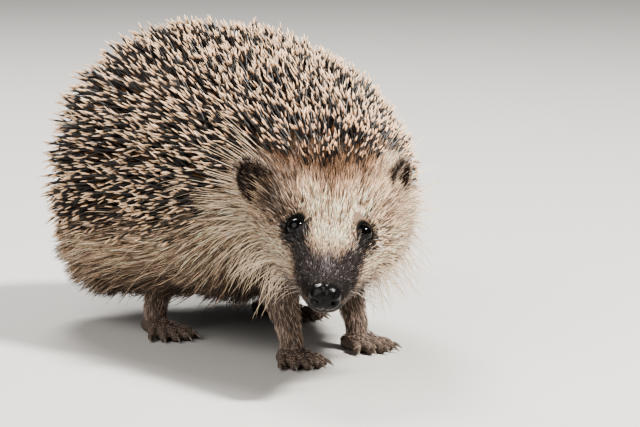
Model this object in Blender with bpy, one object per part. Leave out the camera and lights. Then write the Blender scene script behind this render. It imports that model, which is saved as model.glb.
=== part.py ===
"""A life-size walking hedgehog, head turned to its right, standing on four paws.

The body is a profile carried along a midline that runs from the nose tip (u = 0) to the rump
(u = BODY_LENGTH). The head, neck and trunk are stretches of that one loft, out to the tips of the
hair. The quill mantle is a shell laid over them, out to the tips of the quills. The snout points to
-Y, +X is the animal's left, and the soles stand on z = 0. All lengths are in metres.
"""
import math

import bmesh
import bpy
import numpy as np
from mathutils import Vector

MM = 0.001
GAP = 0.3 * MM                  # clearance between neighbouring pieces
MANTLE_GAP = 1.4 * MM           # and between the hair and the mantle over it
BODY_LENGTH = 230 * MM          # nose tip to rump along the midline, without the coat
ANCHOR_U = 150 * MM             # the midline passes through ANCHOR here
ANCHOR = (-2.27 * MM, 20.32 * MM, 61.5 * MM)

HEAD_TURN = math.radians(35)    # to the animal's right, against the rump
BODY_TURN_SHARE = 0.35          # this share of the turn is in the trunk, the rest in the neck
HEAD_PITCH = math.radians(20)   # nose down
NECK_SINK = math.radians(4.5)   # the midline sinks from the trunk to the nape
RUMP_DROOP = math.radians(9)    # the midline sinks towards the tail
HEAD_ROLL = math.radians(5)     # left side lower
# Each bend is spread over a stretch of the midline.
BODY_BEND = (90 * MM, 210 * MM)
NECK_BEND = (45 * MM, 105 * MM)
HEAD_PITCH_BEND = (36 * MM, 82 * MM)
NAPE_STARTS = (60 * MM, 90 * MM)
NAPE_ENDS = (120 * MM, 165 * MM)
RUMP_BEND = (165 * MM, BODY_LENGTH)
ROLL_BEND = (45 * MM, 95 * MM)
MIDLINE_STEP = 0.5 * MM

# The skin's section at a few places along the midline:
# distance from the nose tip, half width, height above and depth below the midline, in mm.
SKIN_STATIONS = (
    (0, 5.6, 4.8, 5.0),
    (5, 6.9, 5.6, 7.0),
    (12, 9.1, 7.0, 8.8),
    (20, 11.9, 9.3, 10.4),
    (30, 15.9, 12.9, 12.2),
    (42, 20.0, 17.4, 14.2),
    (54, 22.8, 20.5, 15.5),
    (68, 25.0, 24.0, 18.5),
    (88, 30.0, 27.5, 24.0),
    (115, 37.6, 32.5, 32.0),
    (150, 45.0, 39.5, 37.0),
    (190, 47.5, 43.0, 38.0),
    (230, 44.0, 40.0, 38.0),
)
NOSE_ROUNDING = 5 * MM          # the loft's two ends are rounded over these lengths
RUMP_ROUNDING = 42 * MM
RUMP_POWERS = (2.2, 3.0)        # above and below: 2 is round, more is boxier
SECTION_POWER = 2.25            # 2 is an ellipse, more is boxier
HIP_POWER = 3.0                 # the lower half's at the hips
HIP_STRETCH = (120 * MM, 190 * MM)
RUMP_SIDE = (math.radians(50), math.radians(120))   # the rump's upper power turns to its lower one

# Hair depth over the skin: distance from the nose tip, depth, in mm.
FUR_STATIONS = (
    (0, 0.2), (12, 0.5), (24, 1.2), (36, 2.4), (48, 4.0),
    (62, 5.2), (90, 7.2), (150, 8.0), (190, 9.0), (230, 10.0),
)
UNDERFUR = 5 * MM               # between the quills' roots
BELLY_FUR_SHARE = 0.45
BELLY_EDGE = (math.radians(130), math.radians(165))     # the hair shortens between these angles
BELLY_FRONT = (10 * MM, 40 * MM)
BELLY_BACK = (200 * MM, 222 * MM)
EYE_RIM_FUR_SHARE = 0.3
EYE_RIM = (3 * MM, 9 * MM)      # the hair lengthens between these distances from an eye
EYE_GIRTH = 14 * MM             # the head's radius at the eyes
# Extra length of the hair hanging from the lower flanks: distance from the nose tip, length, in mm.
SKIRT_STATIONS = ((75, 0), (95, 3), (115, 7), (150, 8), (185, 8), (203, 9.5), (215, 9), (229, 0))
SKIRT_ANGLE = math.radians(135)
SKIRT_WIDTH = math.radians(21)
# How far the quills' tips stand over the skin: distance from the nose tip, height, in mm.
QUILL_STATIONS = ((57, 9.5), (75, 10), (100, 11), (140, 12.5), (190, 14), (230, 14.5))
QUILL_EDGE_DEPTH = 2.5 * MM     # how far they stand over the hair at the mantle's edge
QUILL_RAMP = 26 * MM            # the mantle reaches its full depth this far in from its edge

# The mantle's edge: distance from the nose tip in mm, and half angle from the top in degrees.
MANTLE_STATIONS = (
    (57, 10), (60, 25), (64, 36), (70, 47), (77, 63), (84, 83), (92, 97), (100, 104), (112, 109),
    (150, 114), (190, 116), (208, 119), (218, 124), (224, 136), (227.5, 156), (229, 180), (230, 180),
)
MANTLE_OPENS = 57 * MM
MANTLE_CLOSES = 229 * MM        # behind here the mantle goes all the way round, over the tail's root
MANTLE_FRONT_SLOPE = 1.3        # how much faster the mantle deepens from its front edge than its sides
MANTLE_COLUMNS = 24
UNDERFUR_RAMP = 16 * MM         # the hair reaches its depth under the quills this far in from the edge

# Where the loft has its rings, in mm from the nose tip.
ROWS = [place * MM for place in (
    0, 0.5, 2, 4.5, 7.5, 11, 15, 19, 23, 27, 31, 35, 39, 43, 48, 53, 57, 60, 64, 69,
    74, 79, 85, 92, 104, 120, 138, 156, 172, 184, 193, 201, 209, 216, 221, 225, 227.5, 229, 229.7, 230,
)]
BODY_SIDES = 32
NECK_START = 69 * MM
TRUNK_START = 92 * MM

BALL_SEGMENTS = 13
BALL_RINGS = 9

EYE_U = 33.5 * MM
EYE_ANGLE = math.radians(50)    # from the top, on each side
EYE_RADIUS = 3.5 * MM
EYE_SINK = 2.0 * MM             # the eyeball's centre lies this far under the skin

NOSE_U = 3.4 * MM
NOSE_LIFT = 0.4 * MM
NOSE_RADII = (5.6 * MM, 4.7 * MM, 4.6 * MM)     # sideways, up, forward

EAR_U = 60 * MM
EAR_ANGLE = math.radians(68)
# The ears' ways up, as shares of the head's up, outward and forward, and the ways they face, as
# shares of outward and forward. The left ear is turned outward and pricked closer to the head.
EAR_RISES = {"left": (0.80, 0.38, -0.10), "right": (0.60, 0.66, 0.05)}
EAR_FACES = {"left": (0.85, 0.45), "right": (0.32, 0.85)}
EAR_SUNK = 0.30                 # this share of its height lies in the fur
EAR_WIDEST = 0.45               # share of the height
EAR_ROOT_SHARE = 0.72           # the root's width, as a share of the widest
EAR_TIP_POWER = 2.4             # 2 is a round tip, more is squarer
EAR_TIP_LEAST = 0.02            # keeps the tip from closing to a point
EAR_CORNER_DROP = 0.06          # the ear's sides are this share lower than its middle
EAR_ROWS = 7
EAR_COLUMNS = 9
EAR_HEIGHT = 20 * MM            # with the part that lies in the fur
EAR_WIDTH = 13.5 * MM
EAR_CUP = 4.0 * MM              # how deep the cup is
EAR_TIP_BACK = 2.5 * MM         # the tip leans back
EAR_THICKNESS = 1.3 * MM

JAW_ANGLE = math.radians(122)   # the mouth line, from the top
JAW_WIDENING = math.radians(18) # the mouth line drops by this towards its corner
JAW_RINGS = (7.5, 11, 15, 20, 26, 32, 38)
JAW_COLUMNS = 13
JAW_ROOM = 6 * MM               # how far the jaw's room reaches out of the head

TAIL_U = 219 * MM
TAIL_STATIONS = ((-6, 4.6), (2, 4.4), (10, 3.9), (17, 3.0), (22, 1.9), (27, 0.7))   # reach, radius, mm
TAIL_WAY = (0.75, 0.66)         # shares of backward and down

ANKLE_HEIGHT = 9.5 * MM         # where the legs meet the paws
STUB_SINK = 2.5 * MM            # how low the ankle's stub reaches inside the paw
FOREPAW_PLACES = {"left": (13.5, -26.5), "right": (-24, -40)}     # the ankles, in mm
HINDPAW_PLACES = {"left": (27, 56), "right": (-31, 46)}
# A leg's middle: inward and backward of the ankle, height, radius, in mm. Its last is the ankle.
FORELEG_STATIONS = ((0, 9, 36, 8.5), (0, 8, 27, 7.6), (0, 4.5, 18, 6.2), (0, 1, 12, 5.0), (0, 0, 9.5, 4.6))
HINDLEG_STATIONS = (
    (3, -8, 38, 10.5), (1, -6, 28, 9.5), (0, -3, 19, 7.2), (0, -0.5, 13, 5.4), (0, 0, 9.5, 4.8),
)
# A paw's sole: distance ahead of the ankle, half width, height, in mm.
FOREPAW_STATIONS = (
    (-6.5, 3.0, 3.4), (-5, 4.8, 6.0), (-1, 6.2, 8.2), (3, 6.9, 7.4), (6.5, 6.8, 5.6), (9, 5.8, 4.4),
    (10.2, 4.2, 3.2),
)
HINDPAW_STATIONS = (
    (-7.5, 3.0, 3.6), (-6, 4.6, 6.2), (-1, 5.4, 8.0), (6, 5.8, 6.6), (12, 6.6, 5.8), (16, 6.8, 5.0),
    (19, 5.8, 4.2), (20.2, 4.2, 3.0),
)
# A paw's toes: sideways place of the root, length and radius in mm, splay in degrees.
FORETOES = (
    (-5, 2.2, 1.6, -30), (-2.7, 4.2, 1.75, -13), (0, 4.8, 1.8, 0), (2.7, 4.2, 1.75, 13), (5, 2.2, 1.6, 30),
)
HINDTOES = (
    (-5, 2.6, 1.6, -26), (-2.6, 4.8, 1.75, -11), (0, 5.4, 1.8, 0), (2.6, 4.8, 1.75, 11), (5, 2.6, 1.6, 26),
)
FOREPAW_TURN = math.radians(8)  # the paws point outwards by these
HINDPAW_TURN = math.radians(12)
TOE_ROOT = 4.5                  # a toe starts this far inside the sole's front, in mm
TOE_FAN = 0.10                  # and further in the further it is from the middle
TOE_BASE = ((0, 2.4), (4.5, 2.8))   # reach and height of a toe's root and knuckle, in mm
# Its pad and its claw: reach when the toe's length is nothing, and height, in mm.
TOE_END = ((4.5, 1.75), (5.2, 1.9), (7.2, 1.9), (9.3, 0.55))
TOE_GIRTHS = (1, 1.05, 0.9)     # root, knuckle and pad, as shares of the toe's radius
CLAW_RADII = (0.80, 0.62, 0.22) # in mm
TOE_CLEARANCE = 0.15 * MM       # the weight rests on the soles
SOLE_ROUNDNESS = 0.58           # share of a sole's height in its rounded top
LEG_SIDES = 14
PAW_SIDES = 12
TOE_SIDES = 6

SIDES = {"left": 1, "right": -1}


# ---------------------------------------------------------------- curves and numbers

def spline(stations, u, column=1):
    """A smooth curve through (distance, value...) stations given in mm: a cubic Hermite, with each
    station's slope the mean of its two neighbours' slopes."""
    table = np.array(stations, float) * MM
    x, y = table[:, 0], table[:, column]
    slope = np.gradient(y, x)
    u = np.clip(u, x[0], x[-1])
    i = np.clip(np.searchsorted(x, u) - 1, 0, len(x) - 2)
    step = x[i + 1] - x[i]
    t = (u - x[i]) / step
    rise = y[i + 1] - y[i]
    near, far = slope[i] * step, slope[i + 1] * step
    return y[i] + t * (near + t * (3 * rise - 2 * near - far + t * (near + far - 2 * rise)))


def smooth(x, low, high):
    """0 below low, 1 above high, with a smooth step between."""
    t = np.clip((x - low) / (high - low), 0, 1)
    return t * t * (3 - 2 * t)


def unit(v):
    return v / np.linalg.norm(v, axis=-1, keepdims=True)


# ---------------------------------------------------------------- the midline

def heading(u):
    """The direction towards the nose: -Y over the trunk, turned to -X and down over the head."""
    body_turn = 1 - smooth(u, *BODY_BEND)
    neck_turn = 1 - smooth(u, *NECK_BEND)
    turn = HEAD_TURN * (BODY_TURN_SHARE * body_turn + (1 - BODY_TURN_SHARE) * neck_turn)
    head_down = HEAD_PITCH * (1 - smooth(u, *HEAD_PITCH_BEND))
    nape_down = NECK_SINK * smooth(u, *NAPE_STARTS) * (1 - smooth(u, *NAPE_ENDS))
    pitch = head_down + nape_down - RUMP_DROOP * smooth(u, *RUMP_BEND)
    return np.stack([-np.sin(turn) * np.cos(pitch), -np.cos(turn) * np.cos(pitch), -np.sin(pitch)], -1)


def midline(u):
    """Centre, left and up directions of the section at u. The centre is the heading summed along u."""
    steps = np.arange(-20 * MM, BODY_LENGTH + 40 * MM, MIDLINE_STEP)
    forward = heading(steps)
    path = -np.cumsum(forward, axis=0) * MIDLINE_STEP
    centre = np.stack([np.interp(u, steps, path[:, k]) for k in range(3)], -1)
    anchor = np.array([np.interp(ANCHOR_U, steps, path[:, k]) for k in range(3)])
    forward = heading(u)
    left = unit(np.cross([0, 0, 1], forward))
    up = np.cross(forward, left)
    roll = (HEAD_ROLL * (1 - smooth(u, *ROLL_BEND)))[..., None]
    left, up = left * np.cos(roll) - up * np.sin(roll), up * np.cos(roll) + left * np.sin(roll)
    return centre - anchor + ANCHOR, left, up


# ---------------------------------------------------------------- the skin and what stands on it

def skin(u, angle):
    """The skin at distance u and at an angle from the top, positive to the animal's left."""
    u = np.asarray(u, float)
    nose = np.sqrt(np.clip(1 - np.clip(1 - u / NOSE_ROUNDING, 0, 1) ** 2, 0, 1))
    wide = spline(SKIN_STATIONS, u, 1)
    tall = np.where(np.cos(angle) > 0, spline(SKIN_STATIONS, u, 2), spline(SKIN_STATIONS, u, 3))
    power = SECTION_POWER + (HIP_POWER - SECTION_POWER) * smooth(u, *HIP_STRETCH) * (np.cos(angle) < 0)
    reach = (np.abs(np.sin(angle) / wide) ** power + np.abs(np.cos(angle) / tall) ** power) ** (-1 / power)
    reach = reach * nose * rump_rounding(u, angle)
    centre, left, up = midline(u)
    return centre + reach[..., None] * (np.cos(angle)[..., None] * up + np.sin(angle)[..., None] * left)


def outward(u, angle):
    """The skin's outward normal, from differences, and straight along the midline at its two ends."""
    small = 0.2 * MM
    inner_u = np.clip(u, small, BODY_LENGTH - small) + 0 * angle
    along = skin(inner_u + small, angle) - skin(inner_u - small, angle)
    around = skin(inner_u, angle + 0.01) - skin(inner_u, angle - 0.01)
    normal = unit(np.cross(around, along))
    forward = heading(inner_u)
    normal = np.where((u < small / 4)[..., None], forward, normal)
    return np.where((u > BODY_LENGTH - small / 4)[..., None], -forward, normal)


def rump_rounding(u, angle):
    """The share of the section's size that is left at the rounded rump."""
    reach = np.clip(1 - (BODY_LENGTH - u) / RUMP_ROUNDING, 0, 1)
    under = smooth(np.abs(angle), *RUMP_SIDE)
    power = RUMP_POWERS[0] + (RUMP_POWERS[1] - RUMP_POWERS[0]) * under
    return np.clip(1 - reach ** power, 0, 1) ** (1 / power)


def mantle_half_angle(u):
    """Half the arc that the mantle covers at distance u."""
    angle = spline(MANTLE_STATIONS, u) / MM * math.pi / 180
    return np.where(u > MANTLE_CLOSES - 0.01 * MM, math.pi, np.minimum(angle, math.pi))


def inside_mantle(u, angle):
    """How far a place lies inside the mantle's edge, in metres along the skin, negative outside."""
    girth = (spline(SKIN_STATIONS, u, 1) + spline(SKIN_STATIONS, u, 2)) / 2 * rump_rounding(u, angle)
    across = (mantle_half_angle(u) - np.abs(angle)) * girth
    ahead = (u - MANTLE_OPENS) * MANTLE_FRONT_SLOPE
    closing = rump_rounding(MANTLE_CLOSES, math.pi)
    narrowing = np.clip(closing - rump_rounding(u, math.pi), 0, 1) * (u > MANTLE_CLOSES)
    return np.minimum(across, ahead) + spline(SKIN_STATIONS, u, 3) * narrowing


def near_eye(u, angle):
    """1 at the eyes, falling to 0 where the hair is as long as its neighbours."""
    across = (np.abs(angle) - EYE_ANGLE) * EYE_GIRTH
    return 1 - smooth(np.hypot(u - EYE_U, across), *EYE_RIM)


def open_hair(u, angle):
    """Depth of the hair where no quills grow: short on the face and belly, longest on the lower flanks."""
    under = smooth(np.abs(angle), *BELLY_EDGE) * smooth(u, *BELLY_FRONT) * (1 - smooth(u, *BELLY_BACK))
    belly = 1 - (1 - BELLY_FUR_SHARE) * under
    rim = 1 - (1 - EYE_RIM_FUR_SHARE) * near_eye(u, angle)
    skirt = spline(SKIRT_STATIONS, u) * np.exp(-((np.abs(angle) - SKIRT_ANGLE) / SKIRT_WIDTH) ** 2)
    return spline(FUR_STATIONS, u) * belly * rim + skirt


def hair_depth(u, angle):
    """Depth of the hair, thinner under the quills."""
    hair = open_hair(u, angle)
    return hair + (UNDERFUR - hair) * smooth(inside_mantle(u, angle), 0, UNDERFUR_RAMP)


def quill_depth(u, angle):
    """Height of the quill tips over the skin: full inside the mantle, low at its edge."""
    edge = open_hair(u, angle) + QUILL_EDGE_DEPTH
    return edge + (spline(QUILL_STATIONS, u) - edge) * smooth(inside_mantle(u, angle), 0, QUILL_RAMP)


def coat(u, angle, depth):
    """A place at a depth over the skin."""
    return skin(u, angle) + outward(u, angle) * np.asarray(depth)[..., None]


# ---------------------------------------------------------------- meshes

def material(name, colour, roughness, metallic=0.0):
    made = bpy.data.materials.new(name)
    made.use_nodes = True
    shader = made.node_tree.nodes["Principled BSDF"]
    shader.inputs["Base Color"].default_value = (*colour, 1)
    shader.inputs["Roughness"].default_value = roughness
    shader.inputs["Metallic"].default_value = metallic
    made.diffuse_color = (*colour, 1)
    return made


def add(name, work, look, helper):
    """Put a bmesh into the scene. A helper only cuts or joins others."""
    mesh = bpy.data.meshes.new(name)
    work.to_mesh(mesh)
    work.free()
    mesh.shade_smooth()
    made = bpy.data.objects.new(name, mesh)
    bpy.context.scene.collection.objects.link(made)
    if look:
        mesh.materials.append(look)
    if helper:
        made.hide_render = True
        made.display_type = "WIRE"
    return made


def mesh_object(name, points, faces, look=None, helper=False):
    """An object from points and faces, with doubles merged and normals facing out."""
    work = bmesh.new()
    corners = [work.verts.new(Vector(p)) for p in points]
    for face in faces:
        work.faces.new([corners[k] for k in face])
    bmesh.ops.remove_doubles(work, verts=work.verts, dist=0.01 * MM)
    bmesh.ops.recalc_face_normals(work, faces=work.faces)
    if work.calc_volume(signed=True) < 0:
        bmesh.ops.reverse_faces(work, faces=work.faces)
    return add(name, work, look, helper)


def tube(name, rings, look=None, helper=False):
    """A closed solid through rings of points, with a fan cap at each end."""
    count, sides = rings.shape[:2]
    points = list(rings.reshape(-1, 3)) + [rings[0].mean(0), rings[-1].mean(0)]
    faces = []
    for k in range(sides):
        beside = (k + 1) % sides
        for base in range(0, (count - 1) * sides, sides):
            faces.append((base + k, base + beside, base + sides + beside, base + sides + k))
        faces.append((count * sides, beside, k))
        faces.append((count * sides + 1, (count - 1) * sides + k, (count - 1) * sides + beside))
    return mesh_object(name, points, faces, look, helper)


def boolean(target, operation, other):
    step = target.modifiers.new(operation.lower() + "_" + other.name, "BOOLEAN")
    step.operation = operation
    step.object = other


# ---------------------------------------------------------------- head, neck and trunk

def body_rings(places, grow=0.0):
    """Rings of the loft at distances from the nose, out to the hair's tips plus grow. The cut ends
    are drawn in by half a gap."""
    start, end = places[0], places[-1]
    u = np.array(places)[:, None]
    angle = np.linspace(-math.pi, math.pi, BODY_SIDES, endpoint=False)[None, :] + 0 * u
    u = u + 0 * angle
    rings = coat(u, angle, hair_depth(u, angle) + grow)
    forward = heading(np.array([start, end])) * GAP / 2
    if start > 0:
        rings[0] -= forward[0]
    if end < BODY_LENGTH:
        rings[-1] += forward[1]
    return rings


def make_body(looks):
    """Head, neck and trunk. The head is returned, because its parts are let into it."""
    head = tube("head", body_rings([u for u in ROWS if u <= NECK_START]), looks["face_fur"])
    tube("neck", body_rings([u for u in ROWS if NECK_START <= u <= TRUNK_START]), looks["flank_fur"])
    tube("trunk", body_rings([u for u in ROWS if u >= TRUNK_START]), looks["flank_fur"])
    return head


def make_mantle(looks, name, grow=0.0):
    """A shell over the hair: outer and inner sheets of one grid, joined along their rims. With grow
    it's the room the mantle needs."""
    columns = MANTLE_COLUMNS
    u = np.array([u for u in ROWS if u >= MANTLE_OPENS])[:, None]
    rows = len(u)
    open_rows = int((u < MANTLE_CLOSES - 0.01 * MM).sum())
    angle = mantle_half_angle(u) * np.linspace(-1, 1, columns)[None, :]
    u = u + 0 * angle
    outer = coat(u, angle, quill_depth(u, angle) + grow)
    inner = coat(u, angle, hair_depth(u, angle) + MANTLE_GAP if not grow else 0 * u)
    if grow:
        outer = widen(outer, open_rows, grow)
        inner = widen(inner, open_rows, grow)
    points = list(outer.reshape(-1, 3)) + list(inner.reshape(-1, 3))
    inside = rows * columns
    faces = []
    for r in range(rows - 1):
        for k in range(columns - 1):
            a, b = r * columns + k, (r + 1) * columns + k
            faces.append((a, a + 1, b + 1, b))
            faces.append((inside + a, inside + b, inside + b + 1, inside + a + 1))
        if r < open_rows:
            for k in (0, columns - 1):
                a, b = r * columns + k, (r + 1) * columns + k
                faces.append((a, b, inside + b, inside + a))
    faces += [(k, k + 1, inside + k + 1, inside + k) for k in range(columns - 1)]
    return mesh_object(name, points, faces, None if grow else looks["quills"], helper=bool(grow))


def widen(sheet, open_rows, grow):
    """Push the sheet's free edges outwards by grow."""
    sheet = sheet.copy()
    for edge, inward in ((0, 1), (-1, -2)):
        sheet[:open_rows, edge] += unit(sheet[:open_rows, edge] - sheet[:open_rows, inward]) * grow
    sheet[0] += unit(sheet[0] - sheet[1]) * grow
    return sheet


# ---------------------------------------------------------------- head's parts

def ball(name, centre, axes, radii, look=None, helper=False):
    """An ellipsoid, its poles along the third axis."""
    work = bmesh.new()
    bmesh.ops.create_uvsphere(work, u_segments=BALL_SEGMENTS, v_segments=BALL_RINGS, radius=1)
    for v in work.verts:
        v.co = Vector(centre) + sum((Vector(axes[k]) * (v.co[k] * radii[k]) for k in range(3)), Vector())
    return add(name, work, look, helper)


def frame(u, angle=0.0):
    """Skin point, outward normal, section's left and up, heading and midline point, at one place."""
    place, turn = np.array([u]), np.array([angle])
    centre, left, up = midline(place)
    return skin(place, turn)[0], outward(place, turn)[0], left[0], up[0], heading(place)[0], centre[0]


def make_nose(looks, head):
    _, _, left, up, forward, centre = frame(NOSE_U)
    centre = centre + up * NOSE_LIFT
    axes = (left, up, forward)
    ball("nose", centre, axes, NOSE_RADII, looks["nose_leather"])
    room = ball("nose_room", centre, axes, [r + GAP for r in NOSE_RADII], helper=True)
    boolean(head, "DIFFERENCE", room)


def make_eyes(looks, head):
    for side, sign in SIDES.items():
        place, normal, _, _, forward, _ = frame(EYE_U, sign * EYE_ANGLE)
        centre = place - normal * EYE_SINK
        across = unit(np.cross(normal, forward))
        axes = (across, np.cross(normal, across), normal)
        ball("eye_" + side, centre, axes, [EYE_RADIUS] * 3, looks["eye_black"])
        room = ball("eye_room_" + side, centre, axes, [EYE_RADIUS + GAP] * 3, helper=True)
        boolean(head, "DIFFERENCE", room)


def jaw_rings(grow=0.0):
    """The lower jaw: the lower arc of the head's sections, closed by a flat along the mouth line.
    With grow it's the room the jaw needs, reaching out through the head's surface."""
    u = (np.array(JAW_RINGS) * MM)[:, None]
    half = math.pi - JAW_ANGLE - smooth(u, 20 * MM, JAW_RINGS[-1] * MM) * JAW_WIDENING
    angle = math.pi + half * np.linspace(-1, 1, JAW_COLUMNS)[None, :]
    angle = np.where(angle > math.pi, angle - 2 * math.pi, angle)
    u = u + 0 * angle
    rings = coat(u, angle, hair_depth(u, angle))
    if grow:
        _, left, up = midline(u)
        ends = [0, -1]
        sideways = left[:, ends] * np.sign(angle[:, ends])[..., None] * JAW_ROOM
        wider = rings[:, ends] + up[:, ends] * grow + sideways
        rings = coat(u, angle, hair_depth(u, angle) + JAW_ROOM)
        rings[:, ends] = wider
        forward = heading(u[:, 0])
        rings[0] += forward[0] * grow
        rings[-1] -= forward[-1] * 2 * grow
    return rings


def make_jaw(looks, head):
    tube("lower_jaw", jaw_rings(), looks["face_fur"])
    room = tube("jaw_room", jaw_rings(GAP), helper=True)
    boolean(head, "DIFFERENCE", room)


def ear_grid(side, sign):
    """The ear as a leaf bent into a cup: a grid over its height and its width, and the way it faces."""
    place, _, left, up, forward, _ = frame(EAR_U, sign * EAR_ANGLE)
    upward, sideways, ahead = EAR_RISES[side]
    rise = unit(up * upward + sign * left * sideways + forward * ahead)
    sideways, ahead = EAR_FACES[side]
    face = unit(sign * left * sideways + forward * ahead)
    face = unit(face - rise * (face @ rise))
    across = np.cross(face, rise)
    s = np.linspace(0, 1, EAR_ROWS)[:, None]
    t = np.linspace(-1, 1, EAR_COLUMNS)[None, :]
    root = EAR_ROOT_SHARE + (1 - EAR_ROOT_SHARE) * np.sin(s / EAR_WIDEST * math.pi / 2)
    beyond = np.clip((s - EAR_WIDEST) / (1 - EAR_WIDEST), 0, 1)
    tip = np.sqrt(np.clip(1 - beyond ** EAR_TIP_POWER, EAR_TIP_LEAST, 1))
    wide = EAR_WIDTH / 2 * np.where(s < EAR_WIDEST, root, tip)
    height = EAR_HEIGHT * (s - EAR_SUNK) * (1 - EAR_CORNER_DROP * t ** 2)
    back = EAR_CUP * (1 - t ** 2) * (1 - 0.5 * s ** 2) + EAR_TIP_BACK * s ** 2
    return (place + height[..., None] * rise + (wide * t)[..., None] * across - back[..., None] * face), face


def make_ears(looks):
    for side, sign in SIDES.items():
        front, face = ear_grid(side, sign)
        rows, columns = front.shape[:2]
        along = np.gradient(front, axis=0)
        across = np.gradient(front, axis=1)
        normal = unit(np.cross(along, across))
        if (normal @ face).mean() < 0:
            normal = -normal
        behind = front - normal * EAR_THICKNESS
        points = list(front.reshape(-1, 3)) + list(behind.reshape(-1, 3))
        other = rows * columns
        faces = []
        for r in range(rows - 1):
            for k in range(columns - 1):
                a = r * columns + k
                faces.append((a, a + 1, a + columns + 1, a + columns))
                faces.append((other + a, other + a + columns, other + a + columns + 1, other + a + 1))
            for k in (0, columns - 1):
                a = r * columns + k
                faces.append((a, a + columns, other + a + columns, other + a))
        for r in (0, rows - 1):
            for k in range(columns - 1):
                a = r * columns + k
                faces.append((a, a + 1, other + a + 1, other + a))
        ear = mesh_object("ear_" + side, points, faces, looks["bare_skin"])
        for room in ("body_room", "mantle_room"):
            boolean(ear, "DIFFERENCE", bpy.data.objects[room])


# ---------------------------------------------------------------- limbs

def limb_rings(path, radii, sides):
    """Round rings square to a path of points."""
    path = np.array(path, float)
    along = unit(np.gradient(path, axis=0))
    across = unit(np.array([1.0, 0, 0]) - along * along[:, :1])
    over = np.cross(across, along)
    turn = np.linspace(0, 2 * math.pi, sides, endpoint=False)
    ring = np.cos(turn)[None, :, None] * across[:, None] + np.sin(turn)[None, :, None] * over[:, None]
    return path[:, None] + ring * np.array(radii)[:, None, None]


def make_leg(name, look, ankle, inward, stations):
    """A leg from inside the coat down to a flat end at the ankle."""
    inwards, backwards, heights, radii = np.array(stations, float).T
    path = np.stack([ankle[0] + inward * inwards, ankle[1] + backwards, heights], -1) * MM
    rings = limb_rings(path, radii * MM, LEG_SIDES)
    rings[-1, :, 2] = ANKLE_HEIGHT
    leg = tube(name, rings, look)
    boolean(leg, "DIFFERENCE", bpy.data.objects["body_room"])
    return leg


def make_sole(name, look, ankle, ahead, aside, stations):
    """The paw without its toes: sections with a flat under side and a rounded top."""
    turn = np.linspace(0, 2 * math.pi, PAW_SIDES, endpoint=False)
    rings = []
    for reach, wide, tall in stations:
        ring = ankle + (reach * ahead + wide * np.sin(turn)[:, None] * aside) * MM
        ring[:, 2] = np.maximum(tall * (1 - SOLE_ROUNDNESS + SOLE_ROUNDNESS * np.cos(turn)), 0) * MM
        rings.append(ring)
    return tube(name, np.array(rings), look)


def toe_rings(root, out, length, radius):
    """A toe with its claw: along its way out, a knuckle, a pad and a tapering claw."""
    stations = TOE_BASE + tuple((reach + length, level) for reach, level in TOE_END)
    path = np.array([root + out * reach * MM for reach, _ in stations])
    path[:, 2] = np.array(stations)[:, 1] * MM
    radii = np.array([radius * girth for girth in TOE_GIRTHS] + list(CLAW_RADII))
    rings = limb_rings(path, radii * MM, TOE_SIDES)
    rings[..., 2] = np.maximum(rings[..., 2], TOE_CLEARANCE)
    return rings


def make_paw(name, look, ankle, toe_out, stations, toes, stub):
    """A paw standing on z = 0: a sole with an ankle stub and five clawed toes, all one solid."""
    ahead = np.array([math.sin(toe_out), -math.cos(toe_out), 0.0])
    aside = np.array([math.cos(toe_out), math.sin(toe_out), 0.0])
    ankle = np.array([*ankle, 0.0]) * MM
    paw = make_sole(name, look, ankle, ahead, aside, stations)

    top = ankle + np.array([0, 0, ANKLE_HEIGHT - GAP])
    sunk = ankle + np.array([0, 0, STUB_SINK])
    girth = np.array([stub, stub, stub * 0.9]) * MM
    stub_rings = limb_rings([top, (top + sunk) / 2, sunk], girth, PAW_SIDES)
    boolean(paw, "UNION", tube(name + "_stub", stub_rings, helper=True))
    front = stations[-2][0] - TOE_ROOT
    for place, length, radius, splay in toes:
        way = math.radians(splay)
        root = ankle + (ahead * (front - TOE_FAN * abs(place) ** 1.5) + aside * place) * MM
        out = ahead * math.cos(way) + aside * math.sin(way)
        boolean(paw, "UNION", tube(name + "_toe", toe_rings(root, out, length, radius), helper=True))
    return paw


def make_limbs(looks):
    skin_look = looks["bare_skin"]
    for side, sign in SIDES.items():
        fore, hind = FOREPAW_PLACES[side], HINDPAW_PLACES[side]
        make_leg("foreleg_" + side, skin_look, fore, -sign, FORELEG_STATIONS)
        make_paw("forepaw_" + side, skin_look, fore, sign * FOREPAW_TURN, FOREPAW_STATIONS, FORETOES,
                 FORELEG_STATIONS[-1][3])
        make_leg("hindleg_" + side, skin_look, hind, -sign, HINDLEG_STATIONS)
        make_paw("hindpaw_" + side, skin_look, hind, sign * HINDPAW_TURN, HINDPAW_STATIONS, HINDTOES,
                 HINDLEG_STATIONS[-1][3])


def make_tail(looks):
    place, normal, _, _, forward, _ = frame(TAIL_U, math.pi)
    out = unit(normal * TAIL_WAY[1] - forward * TAIL_WAY[0])
    reaches, radii = np.array(TAIL_STATIONS).T * MM
    path = place + out * reaches[:, None]
    tail = tube("tail", limb_rings(path, radii, PAW_SIDES), looks["flank_fur"])
    for room in ("body_room", "mantle_room"):
        boolean(tail, "DIFFERENCE", bpy.data.objects[room])


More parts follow.
